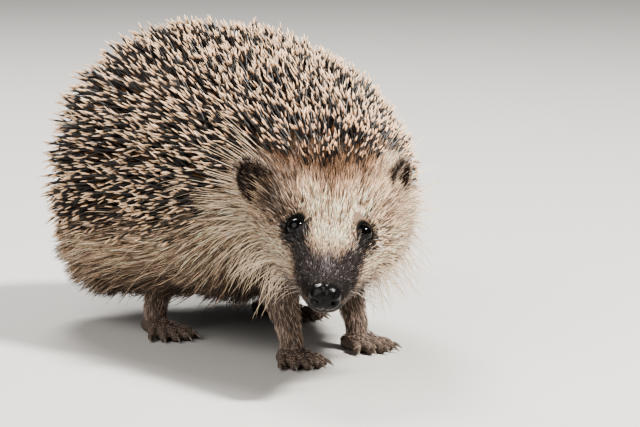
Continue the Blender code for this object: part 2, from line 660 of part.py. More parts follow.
def main():
    for old in list(bpy.data.objects):
        bpy.data.objects.remove(old)
    looks = {
        "quills": material("quills", (0.30, 0.24, 0.19), 0.6),
        "face_fur": material("face_fur", (0.55, 0.43, 0.34), 0.8),
        "flank_fur": material("flank_fur", (0.42, 0.32, 0.24), 0.8),
        "bare_skin": material("bare_skin", (0.20, 0.15, 0.13), 0.7),
        "nose_leather": material("nose_leather", (0.02, 0.02, 0.022), 0.25),
        "eye_black": material("eye_black", (0.01, 0.01, 0.01), 0.05),
    }
    tube("body_room", body_rings(ROWS, GAP), helper=True)
    make_mantle(looks, "mantle_room", MANTLE_GAP)
    head = make_body(looks)
    make_mantle(looks, "quill_mantle")
    make_jaw(looks, head)
    make_nose(looks, head)
    make_eyes(looks, head)
    make_ears(looks)
    make_limbs(looks)
    make_tail(looks)


main()
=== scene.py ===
"""The hedgehog's looks: one skin, its quills and fur, the nose pad, eyes and claws.

The body's midline, sections and coat depths are the ones that its solids were made from: u runs
along the midline from the nose tip, and angle runs round it from the top, positive to the left."""
import math

import bpy
import numpy as np
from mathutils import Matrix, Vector


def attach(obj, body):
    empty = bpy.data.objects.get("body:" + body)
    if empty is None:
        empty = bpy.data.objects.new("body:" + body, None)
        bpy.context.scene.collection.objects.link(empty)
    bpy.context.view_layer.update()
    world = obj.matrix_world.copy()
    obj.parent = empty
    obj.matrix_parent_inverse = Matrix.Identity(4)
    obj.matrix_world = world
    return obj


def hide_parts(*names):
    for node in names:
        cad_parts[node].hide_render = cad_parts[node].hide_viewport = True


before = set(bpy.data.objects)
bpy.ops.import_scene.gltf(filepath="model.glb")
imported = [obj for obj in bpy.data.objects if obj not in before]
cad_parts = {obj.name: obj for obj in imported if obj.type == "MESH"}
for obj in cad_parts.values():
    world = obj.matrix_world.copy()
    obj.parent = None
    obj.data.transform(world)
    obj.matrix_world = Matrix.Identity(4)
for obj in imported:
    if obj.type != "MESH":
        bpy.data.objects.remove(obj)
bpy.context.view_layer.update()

MM = 0.001
DEG = math.pi / 180
TO_MM = 1000                    # metres to millimetres
BODY_LENGTH = 230 * MM          # nose tip to rump along the midline, without the coat
ANCHOR_U = 150 * MM             # the midline passes through ANCHOR here
ANCHOR = (-2.27 * MM, 20.32 * MM, 61.5 * MM)
HEAD_TURN = 35 * DEG            # to the animal's right, against the rump
BODY_TURN_SHARE = 0.35          # this share of the turn is in the trunk, the rest in the neck
HEAD_PITCH = 20 * DEG           # nose down
NECK_SINK = 4.5 * DEG           # the midline sinks from the trunk to the nape
RUMP_DROOP = 9 * DEG            # the midline sinks towards the tail
HEAD_ROLL = 5 * DEG             # left side lower
# Each bend is spread over a stretch of the midline.
BODY_BEND = (90 * MM, 210 * MM)
NECK_BEND = (45 * MM, 105 * MM)
HEAD_PITCH_BEND = (36 * MM, 82 * MM)
NAPE_STARTS = (60 * MM, 90 * MM)
NAPE_ENDS = (120 * MM, 165 * MM)
RUMP_BEND = (165 * MM, 230 * MM)
ROLL_BEND = (45 * MM, 95 * MM)
MIDLINE_STEP = 0.5 * MM
MIDLINE_OVERRUN = (20 * MM, 40 * MM)    # past the nose tip and past the rump

# Distance from the nose tip, half width, height above and depth below the midline, in mm.
SKIN_STATIONS = (
    (0, 5.6, 4.8, 5.0),
    (5, 6.9, 5.6, 7.0),
    (12, 9.1, 7.0, 8.8),
    (20, 11.9, 9.3, 10.4),
    (30, 15.9, 12.9, 12.2),
    (42, 20.0, 17.4, 14.2),
    (54, 22.8, 20.5, 15.5),
    (68, 25.0, 24.0, 18.5),
    (88, 30.0, 27.5, 24.0),
    (115, 37.6, 32.5, 32.0),
    (150, 45.0, 39.5, 37.0),
    (190, 47.5, 43.0, 38.0),
    (230, 44.0, 40.0, 38.0),
)
NOSE_ROUNDING = 5 * MM          # the body's two ends are rounded over these lengths
RUMP_ROUNDING = 42 * MM
RUMP_POWERS = (2.2, 3.0)        # above and below: 2 is round, more is boxier
RUMP_SIDE = (50 * DEG, 120 * DEG)       # the rump's upper power turns to its lower one
SECTION_POWER = 2.25            # 2 is an ellipse, more is boxier
HIP_POWER = 3.0                 # the lower half's at the hips
HIP_STRETCH = (120 * MM, 190 * MM)

# Hair depth over the skin, and the extra length of the hair hanging from the lower flanks:
# distance from the nose tip, depth, in mm.
FUR_STATIONS = (
    (0, 0.2), (12, 0.5), (24, 1.2), (36, 2.4), (48, 4.0),
    (62, 5.2), (90, 7.2), (150, 8.0), (190, 9.0), (230, 10.0),
)
SKIRT_STATIONS = ((75, 0), (95, 3), (115, 7), (150, 8), (185, 8), (203, 9.5), (215, 9), (229, 0))
SKIRT_ANGLE = 135 * DEG
SKIRT_WIDTH = 21 * DEG
BELLY_FUR_SHARE = 0.45
BELLY_EDGE = (130 * DEG, 165 * DEG)     # the hair shortens between these angles
BELLY_FRONT = (10 * MM, 40 * MM)
BELLY_BACK = (200 * MM, 222 * MM)
EYE_RIM_FUR_SHARE = 0.3
EYE_RIM = (3 * MM, 9 * MM)      # the hair lengthens between these distances from an eye
# How far the quills' tips stand over the skin: distance from the nose tip, height, in mm.
QUILL_STATIONS = ((57, 9.5), (75, 10), (100, 11), (140, 12.5), (190, 14), (230, 14.5))
QUILL_EDGE_DEPTH = 2.5 * MM     # how far they stand over the hair at the mantle's edge
QUILL_RAMP = 26 * MM            # the mantle reaches its full depth this far in from its edge

# The mantle's edge: distance from the nose tip in mm, half angle from the top in degrees.
MANTLE_STATIONS = (
    (57, 10), (60, 25), (64, 36), (70, 47), (77, 63), (84, 83), (92, 97), (100, 104), (112, 109),
    (150, 114), (190, 116), (208, 119), (218, 124), (224, 136), (227.5, 156), (229, 180), (230, 180),
)
MANTLE_OPENS = 57 * MM
MANTLE_CLOSES = 229 * MM        # behind here the mantle goes all the way round, over the tail's root
MANTLE_FRONT_SLOPE = 1.3        # how much faster it deepens from its front edge than from its sides

EYE_U = 33.5 * MM
EYE_ANGLE = 50 * DEG            # from the top, on each side
EYE_RADIUS = 3.5 * MM
EYE_SINK = 2.0 * MM             # the eyeball's centre lies this far under the skin
EYE_GIRTH = 14 * MM             # the head's radius at the eyes
NOSE_U = 3.4 * MM
NOSE_LIFT = 0.4 * MM
NOSE_RADII = (5.6 * MM, 4.7 * MM, 4.6 * MM)     # sideways, up, forward
EAR_U = 60 * MM
EAR_ANGLE = 68 * DEG
EAR_HEIGHT = 20 * MM            # with the part that lies in the fur
EAR_WIDTH = 13.5 * MM
EAR_CUP = 4.0 * MM              # how deep the cup is
# The ears' ways up, as shares of the head's up, outward and forward, and the ways they face, as
# shares of outward and forward. The left ear is turned outward and pricked closer to the head.
EAR_RISES = {"left": (0.80, 0.38, -0.10), "right": (0.60, 0.66, 0.05)}
EAR_FACES = {"left": (0.85, 0.45), "right": (0.32, 0.85)}
EAR_SUNK = 0.30                 # this share of its height lies in the fur
EAR_WIDEST = 0.45               # share of the height
EAR_ROOT_SHARE = 0.72           # its width at the root, as a share of the widest
EAR_TIP_POWER = 2.4             # 2 is a round tip, more is squarer
EAR_TIP_LEAST = 0.02            # keeps the tip from closing to a point
EAR_CORNER_DROP = 0.06          # the ear's sides are this share lower than its middle
EAR_TIP_FLATTER = 0.5           # the cup loses this share of its depth towards the tip
EAR_FOLD = 0.8 * MM             # a fold inside the cup, and its place and spread over t and over s
EAR_FOLD_T = (0.42, 0.16)
EAR_FOLD_S = (0.45, 0.2)
EAR_ROWS = 34
EAR_COLUMNS = 26
EAR_TIP_BACK = 2.5 * MM         # the tip leans back
EAR_THICKNESS = 1.0 * MM
MOUTH_ANGLE = 122 * DEG         # the mouth line, from the top
MOUTH_DROP = 18 * DEG           # it drops by this towards its corner
TAIL_U = 219 * MM
TAIL_STATIONS = ((-6, 4.0), (2, 3.8), (10, 3.2), (17, 2.4), (22, 1.5), (26.4, 0.4))     # reach, radius, mm
TAIL_WAY = (0.75, 0.66)         # shares of backward and down
SIDES = {"left": 1, "right": -1}
FOREPAW_PLACES = {"left": (13.5, -26.5), "right": (-24, -40)}     # the ankles, in mm
HINDPAW_PLACES = {"left": (27, 56), "right": (-31, 46)}
FOREPAW_TURN = 8 * DEG
HINDPAW_TURN = 12 * DEG
UP = np.array([0.0, 0.0, 1.0])

randoms = np.random.default_rng(20)


# ---------------------------------------------------------------- numbers and colours

def unit(v):
    """v divided by its own length."""
    return v / np.maximum(np.linalg.norm(v, axis=-1, keepdims=True), 1e-12)


def smooth(x, low, high):
    """0 below low, 1 above high, and 3t² - 2t³ between."""
    t = np.clip((x - low) / (high - low), 0, 1)
    return t * t * (3 - 2 * t)


def bump(x, width):
    """exp(-(x / width)²)"""
    return np.exp(-(x / width) ** 2)


def spline(stations, u, column=1):
    """Cubic Hermite through stations in mm, each slope the mean of its neighbours' slopes."""
    table = np.array(stations, float) * MM
    x, y = table[:, 0], table[:, column]
    slope = np.gradient(y, x)
    u = np.clip(u, x[0], x[-1])
    i = np.clip(np.searchsorted(x, u) - 1, 0, len(x) - 2)
    step = x[i + 1] - x[i]
    t = (u - x[i]) / step
    rise = y[i + 1] - y[i]
    near, far = slope[i] * step, slope[i + 1] * step
    return y[i] + t * (near + t * (3 * rise - 2 * near - far + t * (near + far - 2 * rise)))


WILDEST = 1.7


def tamed(spread):
    """Random numbers kept within WILDEST of 0, so that no single quill stands far out of its row."""
    return np.clip(spread, -WILDEST, WILDEST)


def rgb(red, green, blue):
    """A display colour of 0 to 255 as linear light: ((c + 0.055) / 1.055) ^ 2.4"""
    return ((np.array([red, green, blue]) / 255 + 0.055) / 1.055) ** 2.4


RIPPLE_WAVES = 6
RIPPLE_GAIN = 1.7               # brings the waves' mean out to about -1 to 1


def ripple(p, size, seed):
    """A smooth random field about -1 to 1 over points p: the mean of a few plane sine waves with
    random directions and phases, about size from crest to crest."""
    source = np.random.default_rng(seed)
    ways = unit(source.normal(size=(RIPPLE_WAVES, 3))) * 2 * math.pi / size
    phases = source.uniform(0, 2 * math.pi, RIPPLE_WAVES)
    return np.sin(p @ ways.T + phases).mean(-1) * RIPPLE_GAIN


# ---------------------------------------------------------------- the body

def heading(u):
    """The direction towards the nose: -Y over the trunk, turned to -X and down over the head. The
    turn and the pitch are sums of smooth steps along u."""
    body_turn = 1 - smooth(u, *BODY_BEND)
    neck_turn = 1 - smooth(u, *NECK_BEND)
    turn = HEAD_TURN * (BODY_TURN_SHARE * body_turn + (1 - BODY_TURN_SHARE) * neck_turn)
    head_down = HEAD_PITCH * (1 - smooth(u, *HEAD_PITCH_BEND))
    nape_down = NECK_SINK * smooth(u, *NAPE_STARTS) * (1 - smooth(u, *NAPE_ENDS))
    pitch = head_down + nape_down - RUMP_DROOP * smooth(u, *RUMP_BEND)
    return np.stack([-np.sin(turn) * np.cos(pitch), -np.cos(turn) * np.cos(pitch), -np.sin(pitch)], -1)


def midline(u):
    """Centre, left and up of the section at u. The centre is the heading summed along u."""
    before, after = MIDLINE_OVERRUN
    steps = np.arange(-before, BODY_LENGTH + after, MIDLINE_STEP)
    path = -np.cumsum(heading(steps), axis=0) * MIDLINE_STEP
    centre = np.stack([np.interp(u, steps, path[:, k]) for k in range(3)], -1)
    anchor = np.array([np.interp(ANCHOR_U, steps, path[:, k]) for k in range(3)])
    forward = heading(u)
    left = unit(np.cross(UP, forward))
    up = np.cross(forward, left)
    roll = (HEAD_ROLL * (1 - smooth(u, *ROLL_BEND)))[..., None]
    left, up = left * np.cos(roll) - up * np.sin(roll), up * np.cos(roll) + left * np.sin(roll)
    return centre - anchor + ANCHOR, left, up


def rump_rounding(u, angle):
    """The share of the section's size that is left at the rounded rump: (1 - reach^p)^(1/p), where
    reach goes from 0 to 1 over the rounding and p is the power for this angle."""
    reach = np.clip(1 - (BODY_LENGTH - u) / RUMP_ROUNDING, 0, 1)
    under = smooth(np.abs(angle), *RUMP_SIDE)
    power = RUMP_POWERS[0] + (RUMP_POWERS[1] - RUMP_POWERS[0]) * under
    return np.clip(1 - reach ** power, 0, 1) ** (1 / power)


def girth(u, angle):
    """The skin's distance from the midline: a superellipse, rounded off at the nose and the rump."""
    nose = np.sqrt(np.clip(1 - np.clip(1 - u / NOSE_ROUNDING, 0, 1) ** 2, 0, 1))
    wide = spline(SKIN_STATIONS, u, 1)
    tall = np.where(np.cos(angle) > 0, spline(SKIN_STATIONS, u, 2), spline(SKIN_STATIONS, u, 3))
    power = SECTION_POWER + (HIP_POWER - SECTION_POWER) * smooth(u, *HIP_STRETCH) * (np.cos(angle) < 0)
    reach = (np.abs(np.sin(angle) / wide) ** power + np.abs(np.cos(angle) / tall) ** power) ** (-1 / power)
    return reach * nose * rump_rounding(u, angle)


def skin(u, angle):
    """The skin's point: the midline's centre, and from there the girth outwards at this angle."""
    centre, left, up = midline(u)
    spoke = np.cos(angle)[..., None] * up + np.sin(angle)[..., None] * left
    return centre + girth(u, angle)[..., None] * spoke


SMALL_STEP = 0.2 * MM           # for the skin's slopes, along it and round it
SMALL_TURN = 0.01


def surface(u, angle):
    """The skin's point, its outward normal, and its tangents backwards and downwards, from the
    skin's differences over small steps along it and round it."""
    inner = np.clip(u, SMALL_STEP, BODY_LENGTH - SMALL_STEP)
    along = skin(inner + SMALL_STEP, angle) - skin(inner - SMALL_STEP, angle)
    around = skin(inner, angle + SMALL_TURN) - skin(inner, angle - SMALL_TURN)
    normal = unit(np.cross(around, along))
    back = unit(along)
    down = np.cross(normal, back) * np.where(angle < 0, 1, -1)[..., None]
    return skin(u, angle), normal, back, down


def mantle_half_angle(u):
    """How far the quills reach down each side, as an angle from the top: a spline through its
    stations, and all the way round behind MANTLE_CLOSES."""
    angle = spline(MANTLE_STATIONS, u) / MM * DEG
    return np.where(u > MANTLE_CLOSES - 0.01 * MM, math.pi, np.minimum(angle, math.pi))


def inside_mantle(u, angle):
    """How far a place lies inside the quills' edge, in metres along the skin, negative outside: the
    angle that is left to the edge times the section's size, or the distance from the front edge
    times its slope where that is less. Behind MANTLE_CLOSES it deepens again as the rump narrows."""
    size = (spline(SKIN_STATIONS, u, 1) + spline(SKIN_STATIONS, u, 2)) / 2 * rump_rounding(u, angle)
    across = (mantle_half_angle(u) - np.abs(angle)) * size
    narrowing = np.clip(rump_rounding(MANTLE_CLOSES, math.pi) - rump_rounding(u, math.pi), 0, 1)
    behind = spline(SKIN_STATIONS, u, 3) * narrowing * (u > MANTLE_CLOSES)
    return np.minimum(across, (u - MANTLE_OPENS) * MANTLE_FRONT_SLOPE) + behind


def from_eye(u, angle):
    """Distance along the skin to the nearer eye, from its parts along u and round the head."""
    return np.hypot(u - EYE_U, (np.abs(angle) - EYE_ANGLE) * EYE_GIRTH)


def hair_depth(u, angle):
    """Depth of the hair, longest on the lower flanks: the spline through its stations, times a
    share under the belly and at the eyes' rims, plus the skirt's spline times a bump round it."""
    under = smooth(np.abs(angle), *BELLY_EDGE) * smooth(u, *BELLY_FRONT)
    belly = 1 - (1 - BELLY_FUR_SHARE) * under * (1 - smooth(u, *BELLY_BACK))
    rim = EYE_RIM_FUR_SHARE + (1 - EYE_RIM_FUR_SHARE) * smooth(from_eye(u, angle), *EYE_RIM)
    skirt = spline(SKIRT_STATIONS, u) * bump(np.abs(angle) - SKIRT_ANGLE, SKIRT_WIDTH)
    return spline(FUR_STATIONS, u) * belly * rim + skirt


def quill_depth(u, angle):
    """Height of the quill tips over the skin: a little over the hair at the mantle's edge, and
    blended into the spline through its stations further in."""
    edge = hair_depth(u, angle) + QUILL_EDGE_DEPTH
    return edge + (spline(QUILL_STATIONS, u) - edge) * smooth(inside_mantle(u, angle), 0, QUILL_RAMP)


# ---------------------------------------------------------------- the coat's colours

FOREHEAD = rgb(250, 216, 186)
CROWN = rgb(126, 95, 71)
CHEEK = rgb(242, 210, 182)
MUZZLE = rgb(58, 50, 49)
# A painted highlight: the pale grey streak stands for the sheen along the muzzle's wet ridge
BRIDGE_HIGHLIGHT = rgb(128, 120, 124)
EYE_PATCH = rgb(24, 19, 18)
CHIN = rgb(96, 91, 90)
FLANK = rgb(206, 180, 156)
# The dark underside: partly the belly's own darker fur, partly painted shade under the throat and the trunk
BELLY_AND_SHADE = rgb(80, 66, 57)
# Painted shade: the near black under the quills' mantle
SHADE_UNDER_QUILLS = rgb(34, 26, 23)
LIMB = rgb(168, 150, 139)
EAR = rgb(50, 42, 39)


# Where each colour begins and ends: distances from the nose tip, and angles from the top.
CHEEK_ENDS = (60 * MM, 95 * MM)
FOREHEAD_SIDES = (42 * DEG, 74 * DEG)
FOREHEAD_ENDS = (55 * MM, 75 * MM)
CROWN_STARTS = (37 * MM, 53 * MM)
CROWN_WEDGE = 6 * MM            # on top it starts this much further forward, in a wedge
CROWN_WEDGE_SIDES = (3 * DEG, 22 * DEG)
CROWN_EDGES = (34 * DEG, 22 * DEG)      # on the right and on the left
CROWN_FADE = 30 * DEG
CROWN_ENDS = (72 * MM, 85 * MM)
TEMPLE_ANGLE = 54               # degrees from the top at TEMPLE_AT mm, and each mm back TEMPLE_DRIFT more
TEMPLE_AT = 36
TEMPLE_DRIFT = 0.55
TEMPLE_WIDTH = 19 * DEG
TEMPLE_SHARES_WITH_SHADE = (0.95, 0.4)     # on the right and on the left; the right's larger share is partly painted shade, on the side turned from the light
TEMPLE_STARTS = (35 * MM, 40 * MM)
TEMPLE_ENDS = (52 * MM, 66 * MM)
BELLY_LINE = (94, 24)           # degrees from the top at the throat, and how much lower at the trunk: where the dark underside begins, partly painted shade
BELLY_LINE_DROPS = (55 * MM, 118 * MM)
BELLY_FADE = 24 * DEG
BELLY_STARTS = (26 * MM, 44 * MM)
MASK_ANGLE = 53 * DEG           # the dark mask runs from the muzzle up towards each eye
MASK_WIDTH = 18 * DEG
MASK_FADES_AT = (13, 22)        # it fades between these on top, mm from the nose tip
MASK_REACHES = (13, 11)         # and how much further back towards the eyes
MUZZLE_LINE = (102, 26)         # degrees from the top at the nose, and how much higher behind it
MUZZLE_LINE_RISES = (12 * MM, 23 * MM)
MUZZLE_FADE = 9 * DEG
# The painted highlight along the muzzle's ridge: its width, where it starts and ends, and its strength
BRIDGE_WIDTH = 13 * DEG
BRIDGE_STARTS = (7 * MM, 9 * MM)
BRIDGE_ENDS = (15 * MM, 21 * MM)
BRIDGE_SHARE = 0.6
EYE_RING = (3.8 * MM, 5.1 * MM)         # distances from the eye's middle
TEAR_U = 28 * MM                # the dark patch below each eye
TEAR_ANGLES = (48 * DEG, 54 * DEG)      # on the right and on the left
TEAR_SIZE = (4.6 * MM, 6.6 * MM)
LEFT_PALER = 0.7 * MM           # the left eye's ring and patch are this much smaller
CHIN_SIDES = (92 * DEG, 112 * DEG)
CHIN_ENDS = (24 * MM, 38 * MM)
SHADE_UNDER_QUILLS_EDGE = (0 * MM, 8 * MM)


def marking(u, angle):
    """The coat's colour at a place of the skin, from one region blended into the next. It carries painted
    shade under the throat and the trunk, under the quills and on the right temple, and a painted highlight
    along the muzzle's ridge.
    """
    side = np.abs(angle)

    def over(base, colour, share):
        """base with a share of colour laid over it."""
        return base + (colour - base) * share[..., None]

    def by_side(right, left):
        """One value on the animal's right and another on its left."""
        return np.where(angle < 0, right, left)

    shade = np.broadcast_to(FLANK, (*np.shape(u), 3))
    shade = over(shade, CHEEK, 1 - smooth(u, *CHEEK_ENDS))
    shade = over(shade, FOREHEAD, (1 - smooth(side, *FOREHEAD_SIDES)) * (1 - smooth(u, *FOREHEAD_ENDS)))
    wedge = CROWN_WEDGE * (1 - smooth(side, *CROWN_WEDGE_SIDES))
    edge = by_side(*CROWN_EDGES)
    crown = smooth(u + wedge, *CROWN_STARTS) * (1 - smooth(side, edge, edge + CROWN_FADE))
    shade = over(shade, CROWN, crown * (1 - smooth(u, *CROWN_ENDS)))
    middle = (TEMPLE_ANGLE + TEMPLE_DRIFT * (u / MM - TEMPLE_AT)) * DEG
    temple = bump(side - middle, TEMPLE_WIDTH) * smooth(u, *TEMPLE_STARTS)
    # The dark temple is the coat's own marking; its extra darkness on the right is painted shade
    temple = temple * by_side(*TEMPLE_SHARES_WITH_SHADE)
    shade = over(shade, EAR, temple * (1 - smooth(u, *TEMPLE_ENDS)))
    # The dark underside, partly the belly's own colour and partly painted shade, reaches up the throat and
    # the lower flanks
    low = (BELLY_LINE[0] + BELLY_LINE[1] * smooth(u, *BELLY_LINE_DROPS)) * DEG
    shade = over(shade, BELLY_AND_SHADE, smooth(side, low, low + BELLY_FADE) * smooth(u, *BELLY_STARTS))
    mask = bump(side - MASK_ANGLE, MASK_WIDTH)
    near, far = ((at + reach * mask) * MM for at, reach in zip(MASK_FADES_AT, MASK_REACHES))
    line = (MUZZLE_LINE[0] - MUZZLE_LINE[1] * smooth(u, *MUZZLE_LINE_RISES)) * DEG
    dark = (1 - smooth(u, near, far)) * (1 - smooth(side, line - MUZZLE_FADE, line + MUZZLE_FADE))
    shade = over(shade, MUZZLE, dark)
    # A painted highlight down the muzzle's ridge
    ridge_highlight = bump(side, BRIDGE_WIDTH) * smooth(u, *BRIDGE_STARTS) * (1 - smooth(u, *BRIDGE_ENDS))
    shade = over(shade, BRIDGE_HIGHLIGHT, BRIDGE_SHARE * ridge_highlight)
    paler = by_side(0, LEFT_PALER)
    ring = 1 - smooth(from_eye(u, angle) + paler, *EYE_RING)
    tear = np.hypot(u - TEAR_U, (side - by_side(*TEAR_ANGLES)) * EYE_GIRTH)
    shade = over(shade, EYE_PATCH, np.maximum(ring, 1 - smooth(tear + paler, *TEAR_SIZE)))
    shade = over(shade, CHIN, smooth(side, *CHIN_SIDES) * (1 - smooth(u, *CHIN_ENDS)))
    # Painted shade under the quills: the skin and the hair near the mantle's edge turn near black
    return over(shade, SHADE_UNDER_QUILLS, smooth(inside_mantle(u, angle), *SHADE_UNDER_QUILLS_EDGE))


# ---------------------------------------------------------------- meshes

def signed_volume(points, faces):
    """Sum of a·(b × c) / 6 over the fan triangles of each face."""
    total = 0.0
    for group in faces:
        a = points[group[:, 0]]
        for k in range(1, group.shape[1] - 1):
            b, c = points[group[:, k]], points[group[:, k + 1]]
            total += np.einsum("ij,ij->i", a, np.cross(b, c)).sum()
    return total / 6


def make_mesh(name, points, faces):
    """A smooth mesh from points and groups of faces, one face a row, turned to face outwards."""
    points = np.asarray(points, float).reshape(-1, 3)
    if signed_volume(points, faces) < 0:
        faces = [group[:, ::-1] for group in faces]
    sizes = np.concatenate([np.full(len(group), group.shape[1]) for group in faces])
    mesh = bpy.data.meshes.new(name)
    mesh.vertices.add(len(points))
    mesh.vertices.foreach_set("co", points.ravel())
    mesh.loops.add(int(sizes.sum()))
    corners = np.concatenate([group.ravel() for group in faces])
    mesh.loops.foreach_set("vertex_index", corners.astype(np.int32))
    mesh.polygons.add(len(sizes))
    mesh.polygons.foreach_set("loop_start", (np.cumsum(sizes) - sizes).astype(np.int32))
    mesh.polygons.foreach_set("use_smooth", np.ones(len(sizes), bool))
    mesh.update(calc_edges=True)
    return mesh


def closed_rings(rings, first=None, last=None):
    """Points and faces of a closed skin through rings of points, with a pole beyond each end."""
    count, sides = rings.shape[:2]
    first = rings[0].mean(0) if first is None else first
    last = rings[-1].mean(0) if last is None else last
    points = np.concatenate([rings.reshape(-1, 3), [first, last]])
    k = np.arange(sides)
    beside = (k + 1) % sides
    base = (np.arange(count - 1) * sides)[:, None]
    quads = np.stack([base + k, base + beside, base + sides + beside, base + sides + k], -1).reshape(-1, 4)
    end = (count - 1) * sides
    fans = np.concatenate([
        np.stack([np.full(sides, count * sides), beside, k], -1),
        np.stack([np.full(sides, count * sides + 1), end + k, end + beside], -1)])
    return points, [quads, fans]


def closed_leaf(front, back):
    """Points and faces of a thin closed leaf between two grids of points."""
    rows, columns = front.shape[:2]
    points = np.concatenate([front.reshape(-1, 3), back.reshape(-1, 3)])
    index = np.arange(rows * columns).reshape(rows, columns)
    near = np.stack([index[:-1, :-1], index[:-1, 1:], index[1:, 1:], index[1:, :-1]], -1).reshape(-1, 4)
    far = near[:, ::-1] + rows * columns
    rim = np.concatenate([index[0], index[1:, -1], index[-1, -2::-1], index[-2:0:-1, 0]])
    beside = np.roll(rim, -1)
    edge = np.stack([beside, rim, rim + rows * columns, beside + rows * columns], -1)
    return points, [near, far, edge]


def joined(shells):
    """Points and faces of several closed skins in one, each turned to face outwards."""
    points, faces, start = [], [], 0
    for shell_points, shell_faces in shells:
        if signed_volume(shell_points, shell_faces) < 0:
            shell_faces = [group[:, ::-1] for group in shell_faces]
        faces += [group + start for group in shell_faces]
        points.append(shell_points)
        start += len(shell_points)
    return np.concatenate(points), faces


def thing(name, mesh, look=None):
    """An object made of this mesh, in the scene, with its material if it has one."""
    made = bpy.data.objects.new(name, mesh)
    bpy.context.scene.collection.objects.link(made)
    if look:
        mesh.materials.append(look)
    return made


def applied(made):
    """The mesh of an object with its modifiers applied. The object itself is removed."""
    bpy.context.view_layer.update()
    mesh = bpy.data.meshes.new_from_object(made.evaluated_get(bpy.context.evaluated_depsgraph_get()))
    bpy.data.objects.remove(made)
    return mesh


def points_of(mesh):
    """The mesh's points, one x, y, z a row."""
    flat = np.empty(len(mesh.vertices) * 3, np.float32)
    mesh.vertices.foreach_get("co", flat)
    return flat.reshape(-1, 3).astype(float)


def paint(mesh, name, values):
    """Keep a colour or a number at each of the mesh's points."""
    if np.ndim(values) == 2:
        values = np.concatenate([values, np.ones((len(values), 1))], 1)
        kept = mesh.attributes.new(name, "FLOAT_COLOR", "POINT")
        kept.data.foreach_set("color", values.ravel().astype(np.float32))
    else:
        kept = mesh.attributes.new(name, "FLOAT", "POINT")
        kept.data.foreach_set("value", values.astype(np.float32))


def keep(made, slot, *nodes):
    """Hand a finished piece to the frame: it rides on the one body and stands for these nodes."""
    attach(made, "root")
    if nodes:
        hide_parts(*nodes)
    return made


# ---------------------------------------------------------------- materials

def look_of(name, roughness, specular):
    """A new material with its shader's plain numbers set, and its nodes and links to add to."""
    made = bpy.data.materials.new(name)
    made.use_nodes = True
    shader = made.node_tree.nodes["Principled BSDF"]
    shader.inputs["Roughness"].default_value = roughness
    shader.inputs["Specular IOR Level"].default_value = specular
    return made, shader, made.node_tree.nodes, made.node_tree.links


def attribute(nodes, name):
    """A node that reads what is kept under this name at the mesh's points."""
    made = nodes.new("ShaderNodeAttribute")
    made.attribute_name = name
    return made


def noise(nodes, links, scale, detail):
    """Noise over Object coordinates, scale crests to the metre."""
    place = nodes.new("ShaderNodeTexCoord")
    made = nodes.new("ShaderNodeTexNoise")
    made.inputs["Scale"].default_value = scale
    made.inputs["Detail"].default_value = detail
    links.new(place.outputs["Object"], made.inputs["Vector"])
    return made


def ramp(nodes, stops):
    """A colour ramp with stops of (place, colour)."""
    made = nodes.new("ShaderNodeValToRGB")
    while len(made.color_ramp.elements) < len(stops):
        made.color_ramp.elements.new(0.5)
    for element, (place, colour) in zip(made.color_ramp.elements, stops):
        element.position = place
        element.color = (*colour, 1)
    return made


def multiplied(nodes, links, first, second):
    """The product of two colours."""
    made = nodes.new("ShaderNodeMix")
    made.data_type = "RGBA"
    made.blend_type = "MULTIPLY"
    made.inputs["Factor"].default_value = 1
    links.new(first, made.inputs["A"])
    links.new(second, made.inputs["B"])
    return made.outputs["Result"]


def bumped(nodes, links, shader, height, distance, strength=1.0):
    """Bump the shader's surface, by distance where the height is 1."""
    made = nodes.new("ShaderNodeBump")
    made.inputs["Distance"].default_value = distance
    made.inputs["Strength"].default_value = strength
    links.new(height, made.inputs["Height"])
    links.new(made.outputs["Normal"], shader.inputs["Normal"])


def coat_look(name, roughness, specular, scale, detail, dull, bright):
    """A material in the coat's own colours, times a mottling between two tones."""
    made, shader, nodes, links = look_of(name, roughness, specular)
    grain = noise(nodes, links, scale, detail)
    tones = ramp(nodes, ((0.3, dull), (0.7, bright)))
    links.new(grain.outputs["Fac"], tones.inputs["Fac"])
    own = attribute(nodes, "coat_colour").outputs["Color"]
    links.new(multiplied(nodes, links, own, tones.outputs["Color"]), shader.inputs["Base Color"])
    return made, shader, nodes, links


def make_skin_look():
    """The coat's colours as the skin carries them, darkened there as painted shade between the hairs, with a
    fine lumpy bump.
    """
    made, shader, nodes, links = coat_look("skin_painted_shade", roughness=0.75, specular=0.15, scale=900, detail=4,
                                           dull=(0.72, 0.72, 0.72), bright=(1.1, 1.08, 1.05))
    lumps = noise(nodes, links, scale=1600, detail=3)
    bumped(nodes, links, shader, lumps.outputs["Fac"], distance=0.25 * MM)
    return made


def make_fur_look():
    """The coat's own colours on soft, low-shining hair."""
    return coat_look("soft_fur", roughness=0.55, specular=0.35, scale=700, detail=2,
                     dull=(0.85, 0.84, 0.83), bright=(1.12, 1.1, 1.08))[0]


# Along a quill from root to tip: the share of its length, and the colour. The darker first stop at the root
# is painted shade under the mantle.
QUILL_BANDS_AND_ROOT_SHADE = (
    (0.00, (96, 72, 54)), (0.34, (150, 114, 82)), (0.44, (32, 25, 22)),
    (0.805, (22, 18, 17)), (0.85, (206, 168, 132)), (0.95, (248, 220, 190)), (1.00, (222, 186, 148)),
)


def make_quill_look():
    """Keratin in bands along each quill, darker at the root as painted shade under the mantle, read from its
    "along" number, times its own tone.
    """
    made, shader, nodes, links = look_of("banded_keratin", roughness=0.38, specular=0.5)
    bands = ramp(nodes, [(place, rgb(*colour)) for place, colour in QUILL_BANDS_AND_ROOT_SHADE])
    links.new(attribute(nodes, "along").outputs["Fac"], bands.inputs["Fac"])
    own = attribute(nodes, "coat_colour").outputs["Color"]
    links.new(multiplied(nodes, links, bands.outputs["Color"], own), shader.inputs["Base Color"])
    return made


